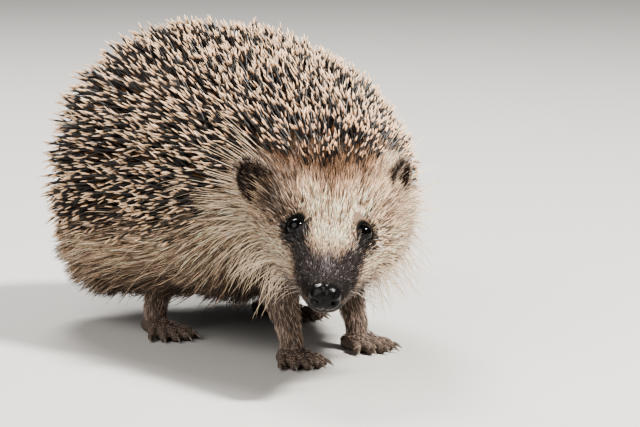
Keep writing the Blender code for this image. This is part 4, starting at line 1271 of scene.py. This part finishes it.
CELL_GIRTH = 4 * MM             # the girth is rounded to this, which keeps the cells in rows
CELL_HASH = (12.9898, 78.233, 43758.5453)
CELL_MIDDLE = (0.3, 0.7)        # the lock's place in its cell, along and round
CELL_SHIFT = 0.4
CELL_END = 0.5 * MM


def clump_of(u, angle, cell):
    """The middle of the lock that each hair leans to: one place in each cell of a brick pattern,
    shifted by a number hashed from the cell's own two."""
    wide = np.round(np.maximum(girth(u, angle), CELL_GIRTH) / CELL_GIRTH) * CELL_GIRTH
    i, j = np.floor(u / cell), np.floor(angle * wide / cell)
    shift = np.sin(i * CELL_HASH[0] + j * CELL_HASH[1]) * CELL_HASH[2]
    shift = shift - np.floor(shift)
    along = (i + CELL_MIDDLE[0] + CELL_SHIFT * shift) * cell
    round_it = (j + CELL_MIDDLE[1] - CELL_SHIFT * shift) * cell / wide
    return np.clip(along, CELL_END, BODY_LENGTH - CELL_END), round_it, shift


SILVER = rgb(168, 162, 160)
TONE_DRIFT = 0.15               # the tone drifts by this, about TONE_DRIFT_SIZE from crest to crest
TONE_DRIFT_SIZE = 9 * MM
TONE_LIMITS = (0.12, 1.7)
# The roots' darkness is painted shade deep in the coat; the dusky hairs are partly random darker hairs and
# partly painted shade between the locks
DUSKY_TONE = 0.3
WARMTH = 0.05
TIP_TONE = 1.4
ROOT_SHADE_TONE = 0.2
DARKEST = (0.002, 0.003)        # at the root and at the tip


def hair_tones(base, root, source, spread=0.2, dusky=0.2, silver=0.0):
    """Colours at the root and the tip of each hair: its own tone, darkened at the root as painted shade deep
    in the coat, dusky ones here and there, partly as painted shade between the locks, and a share of them
    silver."""
    count = len(base)
    tone = source.normal(1, spread, count) + TONE_DRIFT * ripple(root, TONE_DRIFT_SIZE, 8)
    tone = np.where(source.uniform(0, 1, count) < dusky, tone * DUSKY_TONE, tone)
    tone = np.clip(tone, *TONE_LIMITS)[:, None]
    warm = source.normal(0, WARMTH, (count, 1)) * np.array([1, 0, -1.0])
    tip = base * tone * (TIP_TONE + warm)
    tip = np.where(source.uniform(0, 1, (count, 1)) < silver, SILVER * tone, tip)
    return np.clip(base * tone * (ROOT_SHADE_TONE + warm), DARKEST[0], 1), np.clip(tip, DARKEST[1], 1)


LAST_RING = {2: 0.6, 3: 0.82}   # a hair's last ring of 2 or 3 is at this share of its length
HAIR_TAPER = (0.75, 2.2)


def hair_profile(rings):
    """Rings' places along a hair and their widths: 1 - 0.75 t^2.2."""
    lost, power = HAIR_TAPER
    return [(place, 1.0 - lost * place ** power) for place in np.linspace(0, LAST_RING[rings], rings)]


REAR_LIFT = 31                  # degrees more on the hind flanks
REAR_STARTS = (150 * MM, 200 * MM)
REAR_SIDES = (80 * DEG, 105 * DEG)
TIP_SHORTEST = (0.4, 0.6)       # shares of shortest: at the nose tip, and what is added behind it
TIP_SHORTEST_ENDS = (5 * MM, 13 * MM)
FLATTEST = 0.35                 # hair that is longer than its depth needs lies flatter, to this share
DROOP_SIDES = (60 * DEG, 110 * DEG)
DROOP_STARTS = (20 * MM, 70 * MM)
TIP_SWEEP = 1.25                # the tip's sweep and stray against the root's
TIP_STRAY = 1.2
HAIR_SIZES = (0.72, 1.12)
HAIR_TILT = 5                   # degrees
LOCK_SIZE = (0.9, 0.3)          # a lock's own size, and what its shift adds
LOCK_TILT = 10                  # degrees from one lock to another
LOCK_HOLDS = (0.3, 1)           # how strongly its hairs lean to it
LOCK_PULL = 0.45                # of a hair's length, at most
BLEND = (1.3 * MM, 5 * DEG)     # a hair takes its colour from about this far off its place
HAIR_RADII = (0.65, 1.3)
ROOT_SUNK = 1.3                 # radii under the skin


def body_fur(name, count, density, seed, look, span, radius=0.22 * MM, cell=3.5 * MM, gather=0.5, lift=44,
             lift_end=14, sag=0.0, stray=0.14, rings=3, shortest=1.5 * MM, longest=24 * MM, silver=0.0,
             dusky=0.2, spread=0.2):
    """Hair over a stretch of the body, as long as the coat's depth needs at its lift: depth divided
    by the mean of the sines of its lifts at the root and the tip. Each hair's tip is then pulled
    towards its lock's."""
    u, angle = scatter(count, density, seed, *span)
    source = np.random.default_rng(seed + 1000)

    def grown(u, angle, size, tilt):
        """The ways at the root and the tip, and the length, of hair at these places."""
        rear = REAR_LIFT * smooth(u, *REAR_STARTS) * smooth(np.abs(angle), *REAR_SIDES)
        low, high = (lift + tilt + rear) * DEG, (lift_end + tilt / 2 + rear) * DEG
        rise = (np.sin(low) + np.sin(high)) / 2
        depth = hair_depth(u, angle)
        least = shortest * (TIP_SHORTEST[0] + TIP_SHORTEST[1] * smooth(u, *TIP_SHORTEST_ENDS))
        length = np.clip(depth / rise, least, longest) * size
        flatter = np.clip(depth / (rise * length / size), FLATTEST, 1)
        droop = sag * smooth(np.abs(angle), *DROOP_SIDES) * smooth(u, *DROOP_STARTS)
        turn = sweep_of(u, angle)
        start, end = lay_ways(u, angle, low * flatter, high * flatter, turn, turn * TIP_SWEEP, droop)
        return start, end, length

    size, tilt = source.uniform(*HAIR_SIZES, count), source.normal(0, HAIR_TILT, count)
    start, end, length = grown(u, angle, size, tilt)
    start = unit(start + stray * source.normal(size=(count, 3)))
    end = unit(end + TIP_STRAY * stray * source.normal(size=(count, 3)))
    root, normal, _, _ = surface(u, angle)
    middle_u, middle_angle, shift = clump_of(u, angle, cell)
    size, tilt = LOCK_SIZE[0] + LOCK_SIZE[1] * shift, LOCK_TILT * (shift - 0.5)
    lock_start, lock_end, lock_length = grown(middle_u, middle_angle, size, tilt)
    lock_tip = skin(middle_u, middle_angle) + lock_length[:, None] * (lock_start + lock_end) / 2
    tip = root + length[:, None] * (start + end) / 2
    pull = (lock_tip - tip) * gather * source.uniform(*LOCK_HOLDS, count)[:, None]
    limit = LOCK_PULL * length[:, None] / np.maximum(np.linalg.norm(pull, axis=-1, keepdims=True), 1e-9)
    beside, aslant = (source.normal(0, reach, count) for reach in BLEND)
    base = marking(np.clip(u + beside, 0, BODY_LENGTH), angle + aslant)
    shades = hair_tones(base, root, source, spread, dusky, silver)
    thick = radius * source.uniform(*HAIR_RADII, count)
    root = open_lids(root) - ROOT_SUNK * radius * normal
    return spikes(name, root, start, end, length, thick, hair_profile(rings), 3, shades,
                  body_patch(u, angle), look, pull * np.minimum(limit, 1))


def outside_quills(u, angle):
    """1 outside the mantle, falling to 0 some millimetres inside its edge."""
    return 1 - smooth(inside_mantle(u, angle), 2 * MM, 10 * MM)


EYE_CROWD = (4.5 * MM, 7 * MM)
EYE_BARE = (2.9 * MM, 3.3 * MM)
RUMP_CROWD = (185 * MM, 215 * MM)


def crowding(u, angle):
    """None in the eye's opening, three times as many hairs round its rim, twice as many at the rump."""
    away = from_eye(u, angle)
    rim = 2 * (1 - smooth(away, *EYE_CROWD))
    return smooth(away, *EYE_BARE) * (1 + rim) * (1 + smooth(u, *RUMP_CROWD))


ARC_FADES = (10 * DEG, 12 * DEG)        # at a band's upper and lower edge


def side_coat(sign, low, high, front, back):
    """A density on one side of the body, between two angles and two distances from the nose."""
    def density(u, angle):
        """1 well inside the band, times what the quills and the eye's rim make of it."""
        within = smooth(u, *front) * (1 - smooth(u, *back)) * (angle * sign > 0)
        side = np.abs(angle)
        arc = smooth(side, low, low + ARC_FADES[0]) * (1 - smooth(side, high, high + ARC_FADES[1]))
        return within * arc * outside_quills(u, angle) * crowding(u, angle)
    return density


ALL_ROUND = (-20 * DEG, 190 * DEG)


def make_fur(look):
    """The body's hair, band after band from the muzzle to the flanks on each side, and the belly's.
    The bands' ends overlap and fade into one another."""
    for side, sign in SIDES.items():
        muzzle = side_coat(sign, *ALL_ROUND, front=(3 * MM, 4 * MM), back=(22 * MM, 32 * MM))
        keep(body_fur("muzzle_fur_" + side, 7800, muzzle, seed=60 + sign, look=look, span=(3.1 * MM, 34 * MM),
                      radius=0.10 * MM, cell=1.8 * MM, gather=0.35, lift=30, lift_end=8, rings=2,
                      shortest=2.4 * MM, stray=0.22, silver=0.07), "face_fur")
        face = side_coat(sign, *ALL_ROUND, front=(16 * MM, 24 * MM), back=(64 * MM, 78 * MM))
        keep(body_fur("face_fur_" + side, 15000, face, seed=10 + sign, look=look, span=(15 * MM, 80 * MM),
                      radius=0.155 * MM, cell=3 * MM, gather=0.5, lift=40, lift_end=12, rings=2,
                      shortest=3.4 * MM, stray=0.17, dusky=0.36, spread=0.3), "face_fur")
        neck = side_coat(sign, 30 * DEG, 168 * DEG, front=(60 * MM, 74 * MM), back=(108 * MM, 122 * MM))
        keep(body_fur("neck_fur_" + side, 8600, neck, seed=20 + sign, look=look, span=(58 * MM, 124 * MM),
                      radius=0.23 * MM, cell=4.5 * MM, gather=0.75, sag=0.12, rings=3, lift=36, lift_end=12,
                      stray=0.19, dusky=0.45, spread=0.42), "flank_fur")
        flank = side_coat(sign, 60 * DEG, 152 * DEG, front=(104 * MM, 118 * MM), back=(229 * MM, 230 * MM))
        keep(body_fur("flank_fur_" + side, 8600, flank, seed=30 + sign, look=look, span=(102 * MM, 230 * MM),
                      radius=0.26 * MM, cell=5.5 * MM, gather=0.8, sag=0.12, rings=3, lift=34, lift_end=10,
                      longest=28 * MM, dusky=0.32, spread=0.3), "flank_fur")

    def belly(u, angle):
        """1 under the trunk, between its flanks' hair."""
        return smooth(np.abs(angle), 146 * DEG, 158 * DEG) * smooth(u, 104 * MM, 118 * MM)

    keep(body_fur("belly_fur", 4300, belly, seed=40, look=look, span=(102 * MM, 226 * MM),
                  radius=0.27 * MM, cell=4 * MM), "flank_fur")


# Rows of long single hairs: a count for each side, the places' ranges in u (mm) and angle (degrees),
# lift, sweep, sag, length (mm), radius (mm) and colour.
BRISTLE_ROWS = (
    (15, (8, 17), (66, 112), 46, 10, 0.30, 19, 0.085, (70, 56, 50)),            # dark whiskers
    (12, (9, 20), (80, 118), 40, 24, 0.45, 22, 0.085, (214, 200, 186)),         # pale whiskers
    (130, (28, 76), (90, 130), 42, 18, 0.6, 27, 0.16, (240, 220, 194)),         # under the cheeks
    (70, (62, 92), (44, 104), 72, 0, 0.1, 22, 0.17, (240, 218, 190)),           # behind the ears
    (60, (90, 215), (108, 140), 38, 12, 0.5, 27, 0.15, (236, 214, 186)),        # the lower flanks
    (140, (66, 112), (72, 124), 34, 14, 0.25, 22, 0.15, (244, 222, 196)),       # the neck
    (36, (47, 60), (58, 88), 46, 8, 0.1, 18, 0.11, (232, 206, 176)),            # in front of the ears
)
BRISTLE_SIZES = (0.7, 1.15)     # lengths and tones vary between these
BRISTLE_TILT = 7                # degrees
BRISTLE_TIP_LIFT = 0.3          # the tip's lift and sweep against the root's
BRISTLE_TIP_SWEEP = 1.3
BRISTLE_STRAY = 0.1
BRISTLE_RINGS = (0, 0.18, 0.36, 0.54, 0.72, 0.88)
BRISTLE_TAPER = 0.7
BRISTLE_ROOT_TONE = 0.7


def make_bristles(look):
    """The long single hairs of BRISTLE_ROWS, each a spike of six rings that narrows evenly."""
    source = np.random.default_rng(77)
    parts = []
    for count, span, arc, lift, sweep, sag, length, radius, colour in BRISTLE_ROWS:
        total = 2 * count
        u = source.uniform(*span, total) * MM
        angle = source.uniform(*arc, total) * DEG * np.repeat((1, -1), count)
        tilt = source.normal(0, BRISTLE_TILT, total) * DEG
        start, end = lay_ways(u, angle, lift * DEG + tilt, BRISTLE_TIP_LIFT * lift * DEG + tilt,
                              np.full(total, sweep * DEG), np.full(total, BRISTLE_TIP_SWEEP * sweep * DEG),
                              np.full(total, sag))
        size = length * MM * source.uniform(*BRISTLE_SIZES, total)
        shade = np.tile(rgb(*colour), (total, 1)) * source.uniform(*BRISTLE_SIZES, (total, 1))
        parts.append((skin(u, angle), start, end, size, np.full(total, radius * MM), shade,
                      body_patch(u, angle)))
    root, start, end, length, radius, shade, patch = (np.concatenate(column) for column in zip(*parts))
    start = unit(start + BRISTLE_STRAY * source.normal(size=start.shape))
    profile = [(place, 1 - BRISTLE_TAPER * place) for place in BRISTLE_RINGS]
    shades = shade * BRISTLE_ROOT_TONE, shade
    keep(spikes("bristles", root, start, end, length, radius, profile, 4, shades, patch, look), "face_fur")


TUBE_RINGS = 60
TUBE_SIDES = 8


def tube_roots(path, radii, count, source, arc=math.pi):
    """Places on a round tube: points, normals, the way along it, and their share of its length and
    turn. arc is the half turn that they keep to, from the top."""
    _, middle, along, wide = ringed(path, radii, TUBE_SIDES, TUBE_RINGS)
    place = source.uniform(0, 1, count)
    rows = np.arange(TUBE_RINGS)
    row = place * (TUBE_RINGS - 1)

    def at(values):
        """Each place's values, between those of the two nearest rings."""
        return np.stack([np.interp(row, rows, values[:, k]) for k in range(values.shape[1])], -1)

    onward = unit(at(along))
    turn = source.uniform(-arc, arc, count)
    across = unit(np.array([1.0, 0, 0]) - onward * onward[:, :1])
    over = np.cross(onward, across)
    over = over * np.where(over[:, 2:] < -0.05, -1, 1)
    normal = unit(np.sin(turn)[:, None] * across + np.cos(turn)[:, None] * over)
    point = at(middle) + np.interp(row, rows, wide)[:, None] * normal
    return point, normal, onward, place, turn


# A count, a length and the half turn that they keep to, for the hair of a leg, a paw and each toe.
LEG_HAIR = (1500, 3.6 * MM, math.pi)
PAW_HAIR = (500, 2.4 * MM, 75 * DEG)
TOE_HAIR = (70, 1.6 * MM, 70 * DEG)
PAW_WIDE = 0.92                 # the paw's hair grows from this share of its width
LIMB_LIFT = (17, 5)             # mean and spread, degrees
LIMB_STRAY = (0.12, 0.1)
LIMB_TIP_LIFT = 0.04
LIMB_SIZES = (0.7, 1.1)
LIMB_SUNK = 0.2 * MM
LIMB_TONE = 1.15
LIMB_ROOT_TONE = 1.5
LIMB_RADIUS = 0.12 * MM
LIMB_RADII = (0.7, 1.3)


def make_limb_fur(look):
    """Short close hair down the legs, over the paws and on the toes."""
    source = np.random.default_rng(88)
    for index, (kind, side, ankle, inward, turn, leg, sole, toes) in enumerate(limbs()):
        tubes = [(*leg_path(ankle, inward, leg), *LEG_HAIR)]
        ahead, _ = paw_ways(turn)
        table = np.array(sole, float) * MM
        top = ankle + ahead * table[:, :1] + UP * table[:, 2:] * SOLE_SECTION[0]
        tubes.append((top, table[:, 1] * PAW_WIDE, *PAW_HAIR))
        for toe in toe_roots(ankle, turn, sole, toes):
            tubes.append((*toe_path(*toe), *TOE_HAIR))
        parts = []
        for path, radii, count, length, arc in tubes:
            point, normal, along, place, angle = tube_roots(path, radii, count, source, arc)
            if arc == PAW_HAIR[2]:
                tall = np.interp((point - ankle) @ ahead, table[:, 0], table[:, 2])
                point[:, 2] = np.minimum(point[:, 2], ankle[2] + tall)
            lift = source.normal(*LIMB_LIFT, count)[:, None] * DEG
            start = along * np.cos(lift) + normal * np.sin(lift)
            start = unit(start + LIMB_STRAY[0] * source.normal(size=(count, 3)))
            end = unit(along + LIMB_TIP_LIFT * normal + LIMB_STRAY[1] * source.normal(size=(count, 3)))
            first, step, wide = LIMB_PATCHES
            across = first + step * index + wide * (angle / (2 * math.pi) + 0.5)
            patch = np.stack([across, LIMB_PATCHES_UP[0] + LIMB_PATCHES_UP[1] * place], -1)
            size = length * source.uniform(*LIMB_SIZES, count)
            parts.append((point - LIMB_SUNK * normal, start, end, size, patch))
        root, start, end, length, patch = (np.concatenate(column) for column in zip(*parts))
        low, high = hair_tones(np.tile(LIMB, (len(root), 1)) * LIMB_TONE, root, source)
        thick = LIMB_RADIUS * source.uniform(*LIMB_RADII, len(root))
        shades = low * LIMB_ROOT_TONE, high
        keep(spikes(f"{kind}limb_fur_{side}", root, start, end, length, thick, hair_profile(2), 3, shades,
                    patch, look), "bare_skin")


# The hair of an ear's rim, back and inside: counts, lengths and radii in mm, and colours.
EAR_HAIRS = (420, 900, 120)
EAR_LENGTHS = (2.4, 2.6, 4.0)
EAR_RADII = (0.12, 0.13, 0.09)
EAR_COLOURS = (rgb(136, 120, 108), rgb(98, 86, 78), rgb(150, 134, 120))
EAR_FREE = 0.25                 # hair grows above this share of its height
EAR_INSIDE = (0.3, 0.8)
EAR_BESIDE = 0.95               # and on the leaf out to this share of its half width
RIM_SIDES = 3.2                 # the rim's lap goes up one side, over the top and down the other
RIM_TOP = 6
RIM_MIDDLE = (14, 13)           # the row and column that the rim's hairs point away from
RIM_AWAY = 0.75                 # that way's share, for 10 mm from the middle, and the rest goes up
RIM_REACH = 10 * MM
LEAF_LIFT = 0.45
LEAF_SPREAD = 0.25
EAR_STRAY = 0.16
EAR_TIP_UP = 0.35
EAR_TIP_BACKWARD = 0.3
EAR_SIZES = (0.6, 1.25)
EAR_THICKS = (0.8, 1.2)


def make_ear_fur(look):
    """A pale fringe round each ear's rim, and short hair over its back and thinly inside it."""
    source = np.random.default_rng(99)
    for side, sign in SIDES.items():
        sheet, normal, face, rise, across = ear_sheet(side, sign)

        def at(values, s, t):
            """The grid's values at shares s and t of its height and width, nearest point."""
            row, column = s * (EAR_ROWS - 1), (t + 1) / 2 * (EAR_COLUMNS - 1)
            return values[np.round(row).astype(int), np.round(column).astype(int)]

        rim_count, back_count, inner_count = EAR_HAIRS
        lap = source.uniform(0, 1, rim_count)
        s = np.clip(np.minimum(lap, 1 - lap) * RIM_SIDES, 0, 1) * (1 - EAR_FREE) + EAR_FREE
        t = np.clip((lap - 0.5) * RIM_TOP, -1, 1)
        rim_root = at(sheet, s, t)
        rim_way = unit(RIM_AWAY * (rim_root - sheet[RIM_MIDDLE]) / RIM_REACH + (1 - RIM_AWAY) * rise)
        s = [source.uniform(EAR_FREE, 1, back_count), source.uniform(*EAR_INSIDE, inner_count)]
        s = np.concatenate(s)
        t = source.uniform(-EAR_BESIDE, EAR_BESIDE, back_count + inner_count)
        flip = np.repeat((-1.0, 1.0), (back_count, inner_count))[:, None]
        pad = np.repeat((EAR_THICKNESS, 0.0), (back_count, inner_count))[:, None]
        leaf_root = at(sheet, s, t) - at(normal, s, t) * pad
        leaf_way = unit(rise + LEAF_LIFT * flip * at(normal, s, t) + LEAF_SPREAD * t[:, None] * across)
        root = np.concatenate([rim_root, leaf_root])
        start = np.concatenate([rim_way, leaf_way]) + EAR_STRAY * source.normal(size=(len(root), 3))
        end = start + EAR_TIP_UP * rise - EAR_TIP_BACKWARD * face
        end = unit(end + EAR_STRAY * source.normal(size=(len(root), 3)))
        kind = np.repeat((0, 1, 2), EAR_HAIRS)
        length = np.array(EAR_LENGTHS)[kind] * MM * source.uniform(*EAR_SIZES, len(root))
        shades = hair_tones(np.array(EAR_COLOURS)[kind], root, source)
        place = np.concatenate([np.stack([lap, 0 * lap], -1), np.stack([t / 2 + 0.5, s], -1)])
        patch = np.array([EAR_PATCHES[side], EAR_PATCHES_UP]) + place * np.array(EAR_PATCHES_SIZE)
        thick = np.array(EAR_RADII)[kind] * MM * source.uniform(*EAR_THICKS, len(root))
        keep(spikes("ear_fur_" + side, root, unit(start), end, length, thick, hair_profile(2), 3, shades,
                    patch, look), "bare_skin")


# Two pieces: a name, a count, a seed, and the stretch that they cover.
QUILL_PIECES = (
    ("quills_fore", 2700, 50, (MANTLE_OPENS - 10 * MM, 140 * MM)),
    ("quills_hind", 2900, 51, (140 * MM, BODY_LENGTH)),
)
CROWN_QUILLS = (58 * MM, 100 * MM)      # the crown's manner of quills fades between these
EDGE_QUILLS = (-6 * MM, 12 * MM)        # and the edge's between these, in from the mantle's edge
AHEAD = 9 * MM                  # on the crown the quills start this far outside the mantle
AHEAD_SIDES = (22 * DEG, 48 * DEG)
AHEAD_ENDS = (70 * MM, 100 * MM)
QUILL_FADE = (0 * MM, 9 * MM)
QUILL_LENGTHS = (20, 5, 6)      # mm, and how much shorter on the crown and at the edge
QUILL_SPREAD = 0.12
QUILL_RISE = (0.2, 0.9)         # the limits of the rise's sine
QUILL_LIFTS = (1, 14)           # degrees, and how much more on the crown
QUILL_TILT = 7 * DEG            # from quill to quill
TILT_RIPPLE = (5 * DEG, 20 * MM)        # and in waves: how far, and how large
QUILL_SWEEP = 18 * DEG
SWEEP_RIPPLE = (24 * DEG, 14 * MM)
QUILL_SWEEPS = (8, 26)          # degrees down the sides, and how much more at the edge
QUILL_SWEEP_SIDES = (30 * DEG, 80 * DEG)
WIDEST_SWEEP = 42 * DEG
QUILL_HANG = 1.3                # how strongly they hang over the rump
HANG_STARTS = (195 * MM, 226 * MM)
QUILL_CURVE = 10 * DEG          # the tip's lift is this much less than the root's
QUILL_TONE = (0.95, 0.16)       # mean and spread
QUILL_TONES = (0.5, 1.3)
RUSTY = np.array([1.0, 0.68, 0.46])     # the crown's tint at its strongest
RUSTY_SHARES = (0.2, 1.0)
RUSTY_TIP = (0.4, 0.6)          # at the tips, the share of plain and of rusty
FORE_EDGE = (-8 * MM, 5 * MM)   # the first quills over the forehead are thinner and darker
FORE_SIDES = (45 * DEG, 65 * DEG)
FORE_DARKER = 0.35
QUILL_RADII = (0.50, 0.16)      # mm, and how much thinner the first ones are
QUILL_THICKS = (0.85, 1.15)
QUILL_SUNK = 0.5 * MM
# A quill's rings: share of its length and of its radius.
QUILL_PROFILE = ((0.0, 0.8), (0.5, 1.0), (0.86, 0.74), (0.95, 0.40))


def make_quills(look):
    """Quills over the mantle in two pieces, each quill as long and as steep as its place needs. On
    the crown they are shorter, rusty, and stand up; over the rump they hang."""
    def density(u, angle):
        """1 inside the mantle, falling to 0 at its edge, which is further forward on the crown."""
        ahead = AHEAD * (1 - smooth(np.abs(angle), *AHEAD_SIDES)) * (1 - smooth(u, *AHEAD_ENDS))
        return smooth(inside_mantle(u, angle) + ahead, *QUILL_FADE)

    for name, count, seed, part in QUILL_PIECES:
        u, angle = scatter(count, density, seed, *part)
        side = np.abs(angle)
        source = np.random.default_rng(seed + 1000)
        point, normal, back, down = surface(u, angle)
        crown = 1 - smooth(u, *CROWN_QUILLS)
        edge = 1 - smooth(inside_mantle(u, angle), *EDGE_QUILLS)
        full, on_crown, at_edge = QUILL_LENGTHS
        length = (full - on_crown * crown - at_edge * edge) * MM
        length = length * (1 + QUILL_SPREAD * tamed(source.normal(0, 1, count)))
        rise = np.arcsin(np.clip(quill_depth(u, angle) / length, *QUILL_RISE))
        lift = rise + (QUILL_LIFTS[0] + QUILL_LIFTS[1] * crown) * DEG
        lift = lift + TILT_RIPPLE[0] * ripple(point, TILT_RIPPLE[1], 5)
        lift = lift + QUILL_TILT * tamed(source.normal(0, 1, count))
        sweep = QUILL_SWEEP * tamed(source.normal(0, 1, count))
        sweep = sweep + SWEEP_RIPPLE[0] * ripple(point, SWEEP_RIPPLE[1], 6)
        sweep = sweep + (QUILL_SWEEPS[0] + QUILL_SWEEPS[1] * edge) * DEG * smooth(side, *QUILL_SWEEP_SIDES)
        sweep = np.clip(sweep, -WIDEST_SWEEP, WIDEST_SWEEP)
        lay = back * np.cos(sweep)[:, None] + down * np.sin(sweep)[:, None]
        lay = unit(lay - QUILL_HANG * smooth(u, *HANG_STARTS)[:, None] * UP)
        start = lay * np.cos(lift)[:, None] + normal * np.sin(lift)[:, None]
        end = lay * np.cos(lift - QUILL_CURVE)[:, None] + normal * np.sin(lift - QUILL_CURVE)[:, None]
        tone = np.clip(source.normal(*QUILL_TONE, count), *QUILL_TONES)[:, None]
        tint = 1 + (RUSTY - 1) * (crown * source.uniform(*RUSTY_SHARES, count))[:, None]
        fore = (1 - smooth(inside_mantle(u, angle), *FORE_EDGE)) * (1 - smooth(side, *FORE_SIDES))
        darker = (1 - FORE_DARKER * fore)[:, None]
        shades = tone * tint, tone * (RUSTY_TIP[0] + RUSTY_TIP[1] * tint) * darker
        radius = (QUILL_RADII[0] - QUILL_RADII[1] * fore) * MM * source.uniform(*QUILL_THICKS, count)
        root = point - normal * QUILL_SUNK
        keep(spikes(name, root, start, end, length, radius, QUILL_PROFILE, 6, shades, body_patch(u, angle),
                    look), "quills", "quill_mantle")


# ---------------------------------------------------------------- the stage

CAMERA_TURN = -33 * DEG         # round from the front towards the animal's right
CAMERA_RISE = 8 * DEG
CAMERA_DISTANCE = 1.35          # metres
CAMERA_LENS = 200               # mm, over a sensor 36 mm wide
CAMERA_SENSOR = 36
CAMERA_SEES = (0.01, 20)        # metres, nearest and farthest
AIM = (0.0190, 0.0074, 0.0465)  # the camera and the lamps face this point
# Name, turn and rise in degrees, distance and size in metres, power in watts, colour.
LIGHTS = (
    ("key", 28, 50, 1.3, 0.22, 36, (1.0, 0.96, 0.90)),
    ("fill", -70, 34, 1.6, 1.6, 19, (1.0, 0.97, 0.93)),
    ("back", 165, 50, 1.4, 0.5, 18, (1.0, 0.97, 0.93)),
)
FLOOR_HALF = 4                  # metres
FLOOR_COLOUR = (0.62, 0.61, 0.59, 1)
SKY_COLOUR = (0.85, 0.88, 0.92, 1)
SKY_STRENGTH = 0.2


def way(turn, rise):
    """The way to a place that is turned round from the front, to the left, and raised."""
    return Vector((math.sin(turn) * math.cos(rise), -math.cos(turn) * math.cos(rise), math.sin(rise)))


def make_camera():
    """The camera, on the way out from AIM and looking back at it."""
    data = bpy.data.cameras.new("camera")
    data.lens = CAMERA_LENS
    data.sensor_width = CAMERA_SENSOR
    data.clip_start, data.clip_end = CAMERA_SEES
    camera = bpy.data.objects.new("camera", data)
    out = way(CAMERA_TURN, CAMERA_RISE)
    camera.location = Vector(AIM) + out * CAMERA_DISTANCE
    camera.rotation_euler = out.to_track_quat("Z", "Y").to_euler()
    bpy.context.scene.collection.objects.link(camera)
    bpy.context.scene.camera = camera


def make_light(name, turn, rise, distance, size, power, colour):
    """A round lamp on the way out from AIM, facing back at it."""
    data = bpy.data.lights.new(name, "AREA")
    data.shape = "DISK"
    data.size = size
    data.energy = power
    data.color = colour
    lamp = bpy.data.objects.new(name, data)
    out = way(turn * DEG, rise * DEG)
    lamp.location = Vector(AIM) + out * distance
    lamp.rotation_euler = out.to_track_quat("Z", "Y").to_euler()
    bpy.context.scene.collection.objects.link(lamp)


def make_stage():
    """A plain floor, three lamps and a dim even sky."""
    corners = np.array([(-1, -1, 0), (1, -1, 0), (1, 1, 0), (-1, 1, 0)], float) * FLOOR_HALF
    floor_mesh = make_mesh("floor", corners, [np.array([[0, 1, 2, 3]])])
    look, shader, _, _ = look_of("pale_floor", roughness=0.8, specular=0.3)
    shader.inputs["Base Color"].default_value = FLOOR_COLOUR
    floor = thing("floor", floor_mesh, look)
    for lamp in LIGHTS:
        make_light(*lamp)
    world = bpy.data.worlds.new("studio")
    world.use_nodes = True
    sky = world.node_tree.nodes["Background"]
    sky.inputs["Color"].default_value = SKY_COLOUR
    sky.inputs["Strength"].default_value = SKY_STRENGTH
    bpy.context.scene.world = world
    bpy.context.scene.view_settings.look = "AgX - Medium High Contrast"


def main():
    """The camera and the stage, then every piece of the animal, from the skin to the quills."""
    make_camera()
    make_stage()
    hide = keep(make_skin(make_skin_look()), "flank_fur", "head", "neck", "trunk", "lower_jaw", "tail")
    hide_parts(*[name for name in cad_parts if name.startswith(("ear", "fore", "hind"))])
    make_nose(make_nose_look())
    eye_look = make_eye_look()
    for side, sign in SIDES.items():
        make_eyeball(side, sign, eye_look)
    make_claws(make_claw_look())
    fur_look = make_fur_look()
    make_fur(fur_look)
    make_bristles(fur_look)
    make_limb_fur(fur_look)
    make_ear_fur(fur_look)
    make_quills(make_quill_look())


main()
